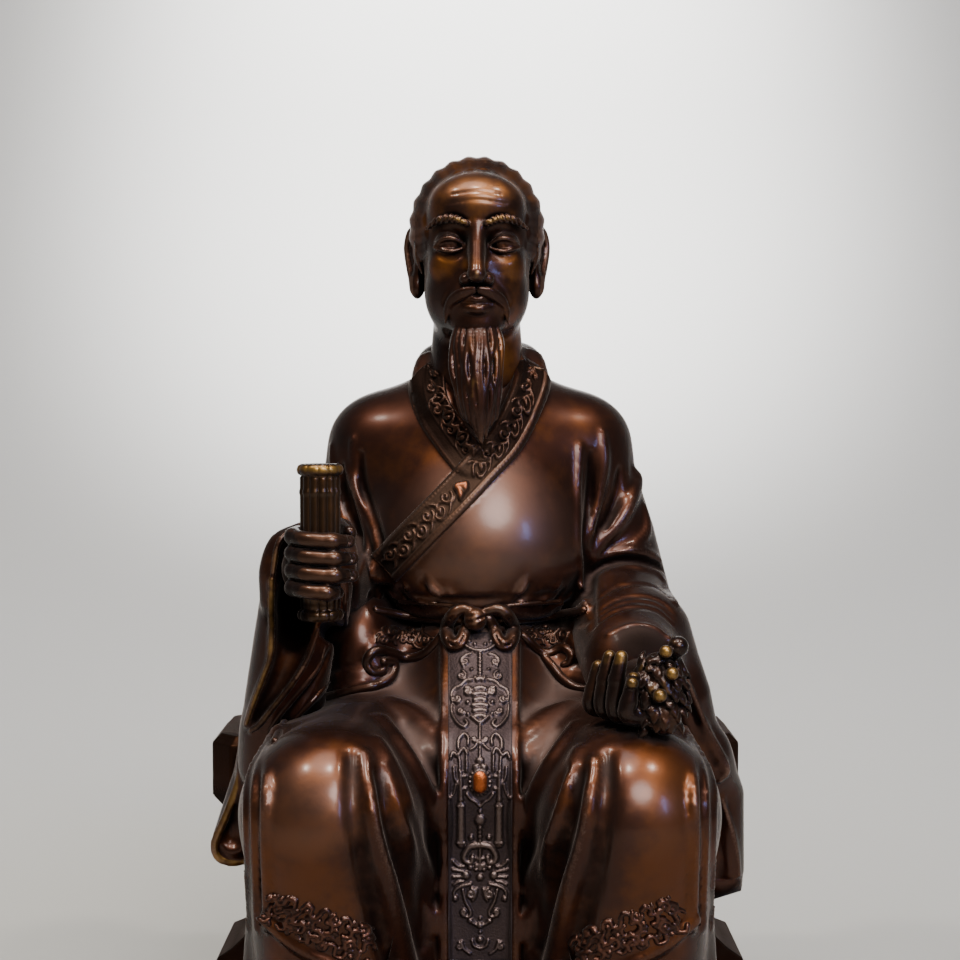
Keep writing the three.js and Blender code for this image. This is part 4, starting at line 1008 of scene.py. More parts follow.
# %% [markdown]
# ## Relief
# The borders of the coat, the long apron and the hem carry fine cast relief: scrolling stems with curls,
# beads, tassels and a cabochon. Each border is a surface of two parameters, across and along a line on the
# front of the robe. It is laid on the clay and raised by round-backed strokes, like cords of wax.

# %% Strokes, and the height that they give
def relief(across, along, strokes):
    """The height of a patch. At a distance d from the line of a stroke with radius r, it is the stroke's
    height times the root of 1 - (d / r) squared, and the highest stroke counts."""
    out = np.zeros((len(along), len(across)))
    for line, first, last, height in strokes:
        line = np.asarray(line, float)
        width = np.linspace(first, last, len(line))
        for a, b, ra, rb in zip(line[:-1], line[1:], width[:-1], width[1:]):
            room = max(ra, rb)
            i = slice(*np.searchsorted(along, (min(a[1], b[1]) - room, max(a[1], b[1]) + room)))
            j = slice(*np.searchsorted(across, (min(a[0], b[0]) - room, max(a[0], b[0]) + room)))
            u, v, run = across[None, j] - a[0], along[i, None] - a[1], b - a
            t = np.clip((u * run[0] + v * run[1]) / max(run @ run, 1e-9), 0, 1)
            away = ((u - run[0] * t) ** 2 + (v - run[1] * t) ** 2) / (ra + (rb - ra) * t) ** 2
            out[i, j] = np.maximum(out[i, j], height * np.sqrt(np.maximum(1 - away, 0)))
    return out


def line_of(points, thick, last=None, height=0.6):
    return curve(points, 4), thick, thick if last is None else last, height


def straight(length, *edges):
    """Strokes that run straight along a border, each given by its place across, its radius and its height."""
    return [([(x, 0), (x, length)], radius, radius, height) for x, radius, height in edges]


def bead(x, y, radius, height=None):
    return [(x, y - 1e-3), (x, y + 1e-3)], radius, radius, height or min(0.35 + radius * 0.6, 0.9)


def curl(x, y, size, start, hand, turns=1.2, thick=0.42, height=0.6):
    """A spiral: its radius shrinks evenly while its angle runs round, from a start angle in degrees."""
    t = np.linspace(0, 1, 16)
    angle = np.radians(start) + hand * 2 * math.pi * turns * t
    reach = size * (1 - 0.85 * t)
    return np.column_stack([x + reach * np.cos(angle), y + reach * np.sin(angle)]), thick, thick * 0.9, height


def mirrored(strokes):
    return strokes + [(np.asarray(line) * [-1, 1], a, b, height) for line, a, b, height in strokes]


def vine(start, end, middle, swing, pitch):
    """A wavy stem with a curl in each bend, a leaf opposite and a bud where they meet."""
    thick, height = 0.46, 0.7
    v = np.arange(start, end, 0.5)
    strokes = [(np.column_stack([middle + swing * np.sin(2 * math.pi * v / pitch), v]), thick, thick, height)]
    for n in range(int((end - start) / pitch * 2)):
        hand = 1 if n % 2 else -1
        at = start + (n + 0.5) * pitch / 2
        side = math.copysign(1, math.sin(2 * math.pi * at / pitch))
        out = side * swing
        leaf = [(middle + out, at), (middle + out * 1.9, at + pitch * 0.12),
                (middle + out * 2.1, at + pitch * 0.27)]
        strokes += [curl(middle - out * 0.7, at, pitch * 0.27, 90 * hand, side, 1.2, thick, height * 1.2),
                    bead(middle - out * 0.55, at, thick * 1.25, height * 1.5),
                    line_of(leaf, thick * 1.3, thick * 0.5, height)]
    return strokes


def rosette(x, y, size):
    """A bead in the middle and six petals round it."""
    petals, reach = [math.pi * n / 3 for n in range(6)], size * 0.62
    return [bead(x, y, size * 0.4, 0.75 + size * 0.3)] + [
        bead(x + reach * math.cos(a), y + reach * math.sin(a), size * 0.38, 0.6 + size * 0.3) for a in petals
    ]


# %% The designs, in mm across and along each border
def under_lapel(length):
    edges = straight(length, (-4.8, 0.9, 0.55), (5.0, 0.45, 0.7), (-0.9, 0.3, 0.3))
    return edges + rosette(2.0, 3.6, 1.7) + vine(6.4, length - 1, 2.0, 1.25, 7.4)


def over_lapel(length):
    edges = straight(length, (4.3, 1.35, 0.95), (-4.6, 1.0, 0.5), (-3.3, 0.22, 0.3))
    peach = [line_of([(0.6, 44.4), (-1.0, 46.2)], 1.6, 1.3, 1.8),
             line_of([(1.2, 46.8), (-1.0, 46.6)], 1.5, 1.2, 1.8)]
    vines = vine(7, 41, -0.5, 1.4, 8.0) + vine(49, length - 1, -0.5, 1.4, 8.0)
    return edges + rosette(0.0, 4.0, 1.8) + peach + vines


def flap_scroll(length):
    return vine(0.8, length - 0.6, 0, 1.5, 6.4) + rosette(0.3, length / 2, 1.6)


def hem_scroll(length):
    """Cloud scrolls: bent cords in four uneven rows, each turned by the golden angle from the last."""
    rows, apart, reach = 4, 3.1, 1.65
    strokes = []
    for n in range(int((length - 2 * apart) / apart) * rows):
        row, column, turn = n % rows, n // rows, n * GOLDEN_TURN
        x = (row - 1.5) * 2.7 + 0.7 * math.sin(n * 1.7)
        y = apart * (1 + column + (row % 2) / 2) + 0.4 * math.sin(n * 2.9)
        bend = [(x + reach * math.cos(turn + k), y + reach * math.sin(turn + k)) for k in (0, 1.2, 2.5, 3.7)]
        strokes.append(line_of(bend, 1.05, 0.75, 1.7 + 0.25 * math.sin(n)))
        if n % 3 == 0:
            strokes.append(bead(x, y, 1.0, 2.1))
    return strokes


def pendant():
    """The apron's pendant, down from the knot: half of it, to be mirrored, and what lies on the middle line.
    Places are across from the middle line and up from the table."""
    half = [
        line_of([(0, 134.1), (2, 134.4), (4, 135.6), (5, 137.4), (3.8, 138.6)], 0.5, 0.4, 0.75),
        bead(3.2, 137, 0.55), bead(1.5, 136.2, 0.5),
        line_of([(2.6, 133.2), (4.2, 132.8), (5.4, 131.2), (5, 129.6)], 0.45, 0.35),
        curl(4.4, 131, 1.4, 80, -1), curl(5.4, 126.6, 1.5, 100, 1),
        bead(1.3, 126, 0.6), bead(2.5, 128.6, 0.45),
        line_of([(2.4, 125.4), (4.2, 125), (5.6, 123.6), (7.6, 122.4), (8.4, 120.4), (8, 118.6)],
                0.5, 0.4, 0.75),
        curl(3.6, 121.8, 1.3, 60, 1, 1.3, 0.5, 0.8), curl(6.6, 119.6, 1.3, 10, -1, 1.2, 0.45, 0.7),
        line_of([(8.4, 117.6), (8.2, 115), (6.8, 112.4), (4.8, 110.9), (3.6, 112), (4.4, 113.2)],
                0.5, 0.4, 0.75),
        curl(5.6, 116, 1.1, 200, 1), bead(3.5, 115, 0.55), bead(3.6, 118.6, 0.6),
        line_of([(6.4, 104.6), (6.2, 107.2), (4.6, 108.8), (3.4, 107.6), (3.5, 105.8)], 0.5, 0.4, 0.8),
        curl(1.6, 107.4, 0.9, 200, 1, 1.1, 0.35), line_of([(0.6, 106.4), (1.8, 104.8), (3, 104.2)], 0.4, 0.3),
        line_of([(9.1, 101.8), (8, 103.3), (6.7, 102.5), (5.6, 103.9), (4.6, 104.6), (3.8, 103)],
                0.55, 0.4, 0.8),
        line_of([(6.2, 102), (6, 100), (6.1, 98)], 0.4), line_of([(4, 102.4), (3.9, 100), (4, 98)], 0.4),
        bead(1.1, 99, 1.0, 0.9),
        line_of([(8, 99), (7.7, 96), (6.3, 94)], 0.5), line_of([(5.8, 97.6), (5.8, 90.6)], 0.55, 0.7, 0.75),
        line_of([(4.3, 96.4), (5.6, 96.4)], 0.4), line_of([(4.2, 92.8), (5.6, 92.8)], 0.4),
        line_of([(7.3, 94), (8, 91.6), (9.4, 89.8)], 0.5, 0.35), bead(5.8, 89.6, 0.85),
        line_of([(5.8, 87.8), (5.8, 76)], 1.1, 1.2, 0.85),
        line_of([(4.9, 87.6), (6.7, 87.6)], 0.45, 0.45, 1.0),
        line_of([(4.8, 76.4), (6.8, 76.4)], 0.6, 0.6, 1.0),
        line_of([(3.9, 91.2), (2.6, 89.6), (1.2, 88.8), (0, 87.4)], 0.5, 0.4, 0.7),
        bead(2.7, 77.9, 0.75),
        line_of([(0.6, 75.6), (3.2, 75), (4.8, 72.6), (4.4, 70.6), (2.8, 70.2), (2.3, 71.8)],
                0.95, 0.7, 0.95),
        bead(2.9, 68.7, 0.8), bead(4.2, 66.2, 1.15), bead(1.2, 68, 0.6),
        line_of([(4.9, 69), (6.4, 69), (8.3, 70.6)], 0.5, 0.6), line_of([(5, 67.4), (8.3, 68)], 0.45, 0.55),
        line_of([(5, 65.8), (8.2, 65.7)], 0.45, 0.55),
        line_of([(5, 64.4), (6.6, 64.2), (8, 63.4)], 0.45, 0.55),
        line_of([(2.9, 63.6), (6, 62.8), (7.9, 61.4), (8, 59.6)], 0.5, 0.5, 0.7), bead(7.6, 59.2, 0.95),
        curl(2.8, 60.6, 1.6, 100, 1, 1.3, 0.5, 0.8), line_of([(1, 62), (1.3, 60), (2.2, 58.6)], 0.45),
        line_of([(5.2, 61.8), (4.4, 58.4), (2.8, 55.2), (3.4, 53.6), (5.2, 53.9)], 0.45, 0.5, 0.7),
        curl(4.8, 55, 1.0, 260, 1, 1.1, 0.45, 0.8), bead(2.9, 52.3, 0.75),
        line_of([(2.9, 52.3), (1.4, 51.2), (0, 50.9)], 0.5),
        line_of([(2.4, 46.2), (1.8, 44.6), (0, 43.8)], 0.45),
        line_of([(5.6, 45.8), (4.8, 43.6), (3, 42.2)], 0.45), curl(6.4, 44.4, 1.2, 90, 1),
    ]
    middle = [bead(0, z, 0.6) for z in np.arange(133, 126.6, -1.15)]
    wings = ((125.4, 0.9), (122.6, 1.4), (120.9, 1.9), (119.2, 1.5), (117.5, 2.0), (115.9, 1.7), (114.2, 1.4))
    middle += [line_of([(-reach, z), (0, z + 0.35), (reach, z)], 0.65, 0.65, 0.8) for z, reach in wings]
    middle += [line_of([(-2.4, 114), (0, 112.2), (2.4, 114)], 0.5, 0.5, 0.9),
               line_of([(0, 111.6), (0, 107.4)], 0.4), line_of([(0, 105), (0, 102)], 0.4),
               bead(0, 101, 1.1), line_of([(0, 95.85), (0, 93.75)], 2.2, 2.2, 1.9)]
    rim = [math.pi * n / 9 for n in range(18)]
    middle += [bead(3.05 * math.cos(a), 94.8 + 3.85 * math.sin(a), 0.48, 0.75) for a in rim]
    beads = ((106.2, 0.75), (85.9, 0.6), (83.2, 1.5), (81, 0.75), (79.6, 0.65), (78.3, 0.7), (77, 0.6),
             (65.6, 1.0), (53, 0.5), (50.9, 0.95), (48.8, 0.5), (46.6, 0.95))
    middle += [bead(0, z, radius) for z, radius in beads]
    middle += [line_of([(0, 75.6), (0, 68)], 0.5), line_of([(-1, 71.4), (1, 71.4)], 0.5),
               line_of([(-1.2, 69.2), (1.2, 69.2)], 0.7)]
    return mirrored(half) + middle


# %% A patch of relief on the clay
BORDER_STEP, APRON_STEP = 0.3, 0.28  # mm between the points of a patch
WAY_BACK, BACK_DEPTH = 6, 1.0  # the points of each row below the clay, and their depth in mm
STRONGER = (1.2, 1.25)  # strokes of the apron, in width and in height


def border_points(line):
    """A dense line, the length along it, and the direction across it, a quarter turn to its left."""
    line = curve(line, 30)
    run = np.gradient(line, axis=0)
    run /= np.linalg.norm(run, axis=1, keepdims=True)
    length = np.concatenate([[0], np.cumsum(np.linalg.norm(np.diff(line, axis=0), axis=1))])
    return line, length, np.column_stack([-run[:, 1], run[:, 0]])


def patch(clay, across, along, places, strokes, lift=0.3):
    """Rows of points on the clay, raised by the strokes. Each row goes back below the surface, which closes
    it, and with it goes a zero height for each point there."""
    rows, columns = places.shape[:2]
    points = clay.seen(places.reshape(-1, 2))
    out = clay.slope(points).reshape(rows, columns, 3)
    points = points.reshape(rows, columns, 3)
    height = relief(across, along, strokes)
    top = points + out * (lift + height)[..., None]
    below = np.linspace(columns - 1, 0, WAY_BACK).astype(int)
    rings = np.concatenate([top, (points - out * BACK_DEPTH)[:, below]], axis=1)
    return rings, np.concatenate([height, np.zeros((rows, WAY_BACK))], axis=1)


def border(clay, line, width, design, lift, late=0.0):
    """A border along a line. One side may start late, which cuts its first end at a slant: the side to the
    left of the line where late is positive, and the other where it is negative."""
    line, length, across_way = border_points(line)
    along = np.arange(0, length[-1], BORDER_STEP)
    across = np.arange(-width / 2, width / 2 + BORDER_STEP / 2, BORDER_STEP)
    slant = abs(late) * np.clip(np.sign(late) * across / (width / 2), 0, 1)
    at = along[:, None] + slant * (1 - along[:, None] / length[-1])
    middle = np.stack([np.interp(at, length, line[:, k]) for k in (0, 1)], axis=-1)
    way = np.stack([np.interp(at, length, across_way[:, k]) for k in (0, 1)], axis=-1)
    return patch(clay, across, along, middle + way * across[:, None], design(length[-1]), lift)


def apron_relief():
    half_width = 9.6
    across = np.arange(-half_width, half_width + APRON_STEP / 2, APRON_STEP)
    along = np.arange(APRON_FOOT, APRON_TOP, APRON_STEP)
    places = np.stack(np.meshgrid(across, along), axis=-1)
    wide, high = STRONGER
    strokes = [(line, first * wide, last * wide, height * high) for line, first, last, height in pendant()]
    return patch(skirt, across, along, places, strokes)


HEM_BAND = [[66, 58.6], [55, 52], [46, 48.4], [37, 45.6], [26.6, 43.6]]
FLAP_BANDS = [[[-31.8, 138.2], [-25.5, 139.2], [-19.5, 138.2], [-13.6, 140]],
              [[13.4, 139.6], [19.5, 139.4], [24, 138], [28, 138.8]]]
reliefs = {
    "under_lapel_relief": border(upper, UNDER_LAPEL, 11, under_lapel, 0.15, -7),
    "over_lapel_relief": border(upper, OVER_LAPEL, 11.2, over_lapel, 0.15, 7),
    "apron_relief": apron_relief(),
    "flap_relief_left": border(skirt, FLAP_BANDS[0], 6.4, flap_scroll, -0.1),
    "flap_relief_right": border(skirt, FLAP_BANDS[1], 6.4, flap_scroll, -0.1),
    "hem_relief_left": border(skirt, sided(-1, HEM_BAND), 18, hem_scroll, -0.7),
    "hem_relief_right": border(skirt, HEM_BAND[::-1], 18, hem_scroll, -0.7),
}
print("relief points:", {name: rings.shape[:2] for name, (rings, _) in reliefs.items()})

# %% [markdown]
# ## From clay to pieces
# The patina follows the form: hands and cloths rub the proud places bright, and the hollows stay dark and
# dull.
# So every point carries values that its material reads. Two come from the clay's own distances: how proud it
# stands of what is round it, and how much of the air before it is shut off, which the material paints as
# shade. Three more come from soft balls and lines set on the form: warmer metal, paler metal that is partly
# wax polish and partly a painted highlight, and bare brass. More soft balls add painted shade in folds and
# hollows. Dust is the last. It lies where a hollow faces up, most of all in the lap.

# %% How proud and how hidden each point is
BLOCKS = [upper, skirt, trim, head, raised_hand, resting_hand]
AIR_STEPS = ((0.8, 0.3), (2.0, 0.25), (4.0, 0.2), (8.0, 0.15), (14.0, 0.1))  # mm, and the weight of each


def depth(points):
    """The distance to the nearest of all blocks of clay."""
    out = np.full(len(points), FAR)
    for clay in BLOCKS:
        high = clay.low + clay.cell * (np.array(clay.values.shape) - 1)
        inside = np.all((points > clay.low) & (points < high), axis=1)
        out[inside] = np.minimum(out[inside], clay.at(points[inside]))
    return out


# How hidden a point is becomes its shade value, which the material paints as shade.
def hidden(points, normals):
    """For steps out along the normal, the share of each step that other clay takes away."""
    total = np.zeros(len(points))
    for step, weight in AIR_STEPS:
        total += weight * np.clip((step - depth(points + normals * step)) / step, 0, 1.2)
    return np.clip(total * 1.3, 0, 1)


def proud(clay, points, reach):
    """The mean distance of six places round a point, which is positive where the form is convex."""
    total = sum(clay.at(points + reach * axis * way) for axis in np.eye(3) for way in (-1, 1)) / 6
    return total / reach


def mesh_normals(points, faces):
    """The sum of the faces' normals at each point, made one long."""
    across = np.cross(points[faces[:, 2]] - points[faces[:, 0]], points[faces[:, 3]] - points[faces[:, 1]])
    out = np.zeros_like(points)
    for corner in faces.T:
        for axis in range(3):
            out[:, axis] += np.bincount(corner, across[:, axis], len(points))
    return out / np.maximum(np.linalg.norm(out, axis=1, keepdims=True), 1e-9)


# %% Making a piece
def soft_sum(points, spots):
    """Soft balls, each given by its centre, its radii and its share: the share in the middle falls to 0 at
    the ball's edge, and the highest of them counts."""
    out = np.zeros(len(points))
    for centre, radii, share in spots:
        away = (((points - np.array(centre)) / np.array(radii)) ** 2).sum(1)
        out = np.maximum(out, share * np.clip(1 - away, 0, 1))
    return out


WARM_SPOTS = [
    ((-51, -80, 80), (19, 34, 46), 0.9), ((52, -80, 78), (18, 34, 44), 0.8),
    ((21, -70, 84), (7, 30, 30), 0.5), ((0, -34, 162), (30, 18, 26), 0.15),
    (on_head(0, -14, 14), (16, 12, 11), 0.9), (on_head(0, -24, -7), (5, 6, 5), 0.8),
    (on_head(-10, -18, -7), (6, 7, 5), 0.6), (on_head(10, -18, -7), (6, 7, 5), 0.6),
]
# Painted shade: soft balls that darken the folds beside the knees, the open hand's wrist, the sleeve's mouth
# and its hanging corner, the armpit, the collar's V, the side of the hanging sleeve, under the chin and the
# beard.
PAINTED_SHADE_SPOTS = [
    ((-33, -66, 70), (11, 34, 44), 0.6), ((33, -66, 70), (11, 34, 42), 0.5),
    ((47, -52, 139), (14, 14, 10), 1.1), ((-56, -44, 146), (11, 28, 15), 1.6),
    ((33.5, -20, 168), (3, 20, 20), 0.5), ((-79, -15, 80), (5, 6, 12), 0.6),
    ((0, -19, 208), (11, 14, 20), 0.8), ((-38, -34, 138), (6, 16, 22), 0.5),
    (on_head(0, -2, -34), (20, 22, 14), 0.6), (on_head(0, -26, -40), (16, 15, 30), 0.8),
]
LAP = [((0, -40, 122), (44, 44, 30), 1.0)]
# Over the belt the painted shade is lessened.
LESS_PAINTED_SHADE_AT_BELT = [((0, -40, 146), (50, 36, 7), 0.75)]
# Paler metal on the belly, the knees and the forehead: partly wax polish, partly a painted highlight.
POLISHED_AND_PAINTED_HIGHLIGHT = [((2, -36, 168), (38, 22, 34), 0.6), ((-47, -84, 97), (17, 18, 16), 0.5),
            ((47, -84, 97), (17, 18, 16), 0.15), (on_head(0, -20, 16), (13, 8, 8), 0.5)]
gold_lines = []


def gold(line, width, share=1.0):
    """Marks a line of points as rubbed down to bare brass, out to a width from it."""
    gold_lines.append((np.asarray(line, float), width, share))


def gold_at(points):
    """At each point, the share of the nearest marked line, falling to nothing at its width."""
    out = np.zeros(len(points))
    for line, width, share in gold_lines:
        near = np.flatnonzero(np.all((points > line.min(0) - width) & (points < line.max(0) + width), axis=1))
        some, away = points[near], np.full(len(near), FAR)
        for a, b in zip(line[:-1], line[1:]):
            t = np.clip((some - a) @ (b - a) / max((b - a) @ (b - a), 1e-9), 0, 1)
            away = np.minimum(away, np.linalg.norm(some - a - t[:, None] * (b - a), axis=1))
        out[near] = np.maximum(out[near], share * np.clip(1 - away / width, 0, 1))
    return out


def placed(name, data):
    """An object with the data, linked to the scene."""
    obj = bpy.data.objects.new(name, data)
    bpy.context.scene.collection.objects.link(obj)
    return obj


def piece(name, points, faces, rub, shade, material, warm=None, up=None):
    """Puts a surface into a mesh object in metres, with its values, and joins it to the frame. Up is how far
    each point faces up; without it no dust lies there."""
    # Painted shade: the soft balls of shade are added, and over the belt the shade is lessened.
    shade = np.maximum(shade, soft_sum(points, PAINTED_SHADE_SPOTS)) * (1 - soft_sum(points, LESS_PAINTED_SHADE_AT_BELT))
    mesh = bpy.data.meshes.new(name)
    mesh.vertices.add(len(points))
    mesh.vertices.foreach_set("co", ((points + ORIGIN) * MM).ravel())
    mesh.loops.add(faces.size)
    mesh.loops.foreach_set("vertex_index", faces.ravel())
    mesh.polygons.add(len(faces))
    mesh.polygons.foreach_set("loop_start", np.arange(0, faces.size, faces.shape[1]))
    mesh.polygons.foreach_set("use_smooth", np.ones(len(faces), bool))
    mesh.update(calc_edges=True)
    values = {"rub": rub, "shade": shade, "gold": gold_at(points)}
    values["warm"] = soft_sum(points, WARM_SPOTS) if warm is None else warm
    # pale: partly wax polish, partly a painted highlight
    values["pale"] = soft_sum(points, POLISHED_AND_PAINTED_HIGHLIGHT)
    values["dust"] = np.zeros(len(points))
    if up is not None:
        lies = np.clip(1.6 * up - 0.3, 0, 1) * np.clip(2.2 * shade - 0.1, 0, 1)
        values["dust"] = lies * (0.25 + 0.75 * soft_sum(points, LAP))
    for label, numbers in values.items():
        layer = mesh.attributes.new(label, "FLOAT", "POINT")
        layer.data.foreach_set("value", np.asarray(numbers, np.float32))
    mesh.materials.append(material)
    obj = placed(name, mesh)
    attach(obj, "root")
    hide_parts(NODE)
    print(f"{name}: {len(points)} points, {len(faces)} faces")


def clay_piece(name, clay, material, small, large, open_air=1.0):
    """The skin of a block. Its rub counts small proud forms and large ones, each by its own share."""
    points, faces = skin(clay)
    normals = clay.slope(points)
    rub = np.clip(0.5 + small * proud(clay, points, 1.2) + large * proud(clay, points, 3.5), 0, 1)
    # Painted shade: how hidden each point is, scaled by open_air.
    piece(name, points, faces, rub, open_air * hidden(points, normals), material, up=normals[:, 2])


def form_piece(name, shape, material, rub):
    points, faces = shape
    normals = mesh_normals(points, faces)
    # Painted shade: how hidden each point is.
    piece(name, points, faces, np.full(len(points), rub), hidden(points, normals), material)


def relief_piece(name, rings, raised, material):
    """A patch of relief, whose highest strokes are warm. Its closed ends have two rings more each."""
    points, faces = lofted(list(rings))
    raised = np.vstack([raised[:1], raised[:1], raised, raised[-1:], raised[-1:]]).ravel()
    # Painted shade: how hidden each point of the patch is, less a quarter.
    low = np.clip(hidden(points, mesh_normals(points, faces)) - 0.25, 0, 1)
    warm = np.clip((raised - 1.5) / 0.1, 0, 1)
    piece(name, points, faces, np.clip(0.15 + raised, 0, 1), low, material, warm)


# %% [markdown]
# ## The bronze
# Cast brass is given a dark brown patina and waxed. Handling wears it to red brown on the broad forms, to
# orange on the knees and the forehead, and to bare brass on the sharpest rims; dust and dye stay grey
# brown in the hollows. The hollows also get painted shade, down to black in the deepest, and paler metal on
# the belly, the knees and the forehead is partly wax polish and partly a painted highlight. One function
# makes each finish from the points' values, with soft clouds at three scales.

# %% Nodes in a few words
def linear(code):
    """An sRGB hex colour as linear light: below 0.04045 over 12.92, above it a power of 2.4."""
    values = [int(code[k : k + 2], 16) / 255 for k in (1, 3, 5)]
    return [v / 12.92 if v <= 0.04045 else ((v + 0.055) / 1.055) ** 2.4 for v in values] + [1.0]


def node(tree, kind, inputs=None, **settings):
    """Adds a node, sets its properties, and fills its inputs with values or with links from other nodes."""
    new = tree.nodes.new(kind)
    for key, value in settings.items():
        setattr(new, key, value)
    for key, value in (inputs or {}).items():
        if isinstance(value, bpy.types.NodeSocket):
            tree.links.new(value, new.inputs[key])
        else:
            new.inputs[key].default_value = value
    return new


def maths(tree, operation, *values):
    return node(tree, "ShaderNodeMath", dict(enumerate(values)), operation=operation).outputs[0]


def ramp(tree, value, low, high):
    """A smooth step from 0 at low to 1 at high."""
    inputs = {"Value": value, "From Min": low, "From Max": high}
    return node(tree, "ShaderNodeMapRange", inputs, interpolation_type="SMOOTHSTEP").outputs[0]


def blend(tree, share, a, b):
    """A colour between two: share 0 gives the first, share 1 the second."""
    mix = node(tree, "ShaderNodeMix", {0: share}, data_type="RGBA")
    for socket, value in ((mix.inputs[6], a), (mix.inputs[7], b)):
        if isinstance(value, str):
            socket.default_value = linear(value)
        else:
            tree.links.new(value, socket)
    return mix.outputs[2]


def clouds(tree, place, size_mm, detail):
    inputs = {"Vector": place, "Scale": 1 / (size_mm * MM), "Detail": detail, "Roughness": 0.55}
    return node(tree, "ShaderNodeTexNoise", inputs).outputs[0]


def attribute(tree, name):
    return node(tree, "ShaderNodeAttribute", attribute_name=name).outputs["Fac"]


# %% The patina, with painted shade and painted highlights
# Dust, bare brass, and the black that is painted as shadow in the deepest places
DUST, BARE_BRASS, PAINTED_SHADOW_BLACK = "#5d4c46", "#9a7438", "#040201"


def bronze(name, ground, body, warm, rim, coat=0.4, stipple=0.0, mottle=1.0):
    """Ground colour in hollows, as patina and as painted shade, body colour on the forms, a warm one in
    clouds where it is worn, and a lighter rim colour, on worn rims and in painted highlights. The coat is
    its wax, the stipple its grain, and the mottle how strong the clouds are."""
    material = bpy.data.materials.new(name)
    material.use_nodes = True
    tree = material.node_tree
    shader = tree.nodes["Principled BSDF"]

    def times(a, b):
        return maths(tree, "MULTIPLY", a, b)

    def plus(a, b):
        return maths(tree, "ADD", a, b)

    def minus(a, b):
        return maths(tree, "SUBTRACT", a, b)

    place = node(tree, "ShaderNodeTexCoord").outputs["Object"]
    rub, shade, warmth = (attribute(tree, word) for word in ("rub", "shade", "warm"))
    brass, dust, pale = (attribute(tree, word) for word in ("gold", "dust", "pale"))
    broad, fine, grain = clouds(tree, place, 26, 3), clouds(tree, place, 5, 4), clouds(tree, place, 0.7, 2)

    # the clouds, from ground through body to warm
    cloud = plus(times(broad, 2.4), times(fine, 0.8))
    share = plus(times(warmth, 0.75), times(minus(cloud, 1.5), mottle))
    colour = blend(tree, ramp(tree, share, 0.0, 0.8), body, warm)
    colour = blend(tree, times(ramp(tree, share, -0.1, -0.6), 0.5), colour, ground)

    # worn down to it where the form is proud and open, and lightest on the rims; where the shade value
    #     is high the ground shows, partly as patina and partly as painted shade
    open_share = minus(rub, times(shade, 0.62))
    worn = ramp(tree, plus(open_share, times(minus(fine, 0.5), 0.3)), -0.05, 0.36)
    colour = blend(tree, worn, blend(tree, dust, ground, DUST), colour)
    edge_share = plus(open_share, times(minus(grain, 0.5), 0.3))
    cool = minus(0.6, times(warmth, 0.5))
    colour = blend(tree, times(ramp(tree, edge_share, 0.62, 1.0), cool), colour, rim)
    # paler in the soft spots on the belly, the knees and the forehead: partly wax polish, partly a painted
    # highlight
    colour = blend(tree, times(pale, 0.5), colour, rim)

    # bare brass, dust, and painted shadow black in the deepest places
    patchy = plus(times(brass, ramp(tree, rub, 0.35, 0.65)), times(minus(fine, 0.5), 0.9))
    colour = blend(tree, times(ramp(tree, patchy, 0.3, 0.95), 0.75), colour, BARE_BRASS)
    colour = blend(tree, times(dust, 0.55), colour, DUST)
    colour = blend(tree, ramp(tree, shade, 0.7, 1.3), colour, PAINTED_SHADOW_BLACK)

    dull = maths(tree, "MAXIMUM", minus(1.0, worn), dust)
    rough = plus(plus(plus(0.33, times(dull, 0.25)), times(fine, 0.14)), times(pale, 0.1))
    height = plus(times(fine, 0.5), times(grain, 0.5 + stipple))
    bump_inputs = {"Height": height, "Strength": 0.2 + 0.2 * stipple, "Distance": 0.12 * MM}
    bump = node(tree, "ShaderNodeBump", bump_inputs)
    links = {"Base Color": colour, "Roughness": rough, "Metallic": minus(0.94, times(dust, 0.3)),
             "Normal": bump.outputs[0], "Coat Weight": times(times(worn, minus(1.0, dust)), coat)}
    for socket, value in links.items():
        tree.links.new(value, shader.inputs[socket])
    constants = {"Coat Roughness": 0.2, "Coat IOR": 1.45, "Specular Tint": linear("#7c665a"),
                 "Specular IOR Level": 0.3, "Sheen Weight": 0.15, "Sheen Roughness": 0.4,
                 "Sheen Tint": linear("#c4b4ac")}
    for socket, value in constants.items():
        shader.inputs[socket].default_value = value
    return material


robe_bronze = bronze("waxed_brown_bronze", "#120907", "#381d12", "#562e12", "#86685a")
head_bronze = bronze("rubbed_brown_bronze", "#0f0806", "#341c12", "#7a4818", "#80604e")
hand_bronze = bronze("dark_handled_bronze", "#0a0605", "#22130d", "#402616", "#503424")
trim_bronze = bronze("dark_cord_bronze", "#100906", "#301b11", "#4c2a16", "#80604c")
collar_bronze = bronze("collar_relief_bronze", "#1c120e", "#3a261d", "#8a4c2c", "#7a5e4c", 0.15, 1.5, 0.25)
hem_bronze = bronze("hem_relief_bronze", "#1a100c", "#38221a", "#523225", "#8c6e60", 0.3, 0.5, 0.5)
relief_bronze = bronze("matt_relief_bronze", "#332b2c", "#453836", "#a04e1a", "#6a5a54", 0.1, 2.0, 0.0)
seat_bronze = bronze("dark_seat_bronze", "#140c08", "#2e1c12", "#382214", "#46301f", 0.0, 0.5)
bamboo_bronze = bronze("bamboo_roll_bronze", "#140c08", "#33200f", "#4c3018", "#6a4c34")
print("materials:", [m.name for m in bpy.data.materials])

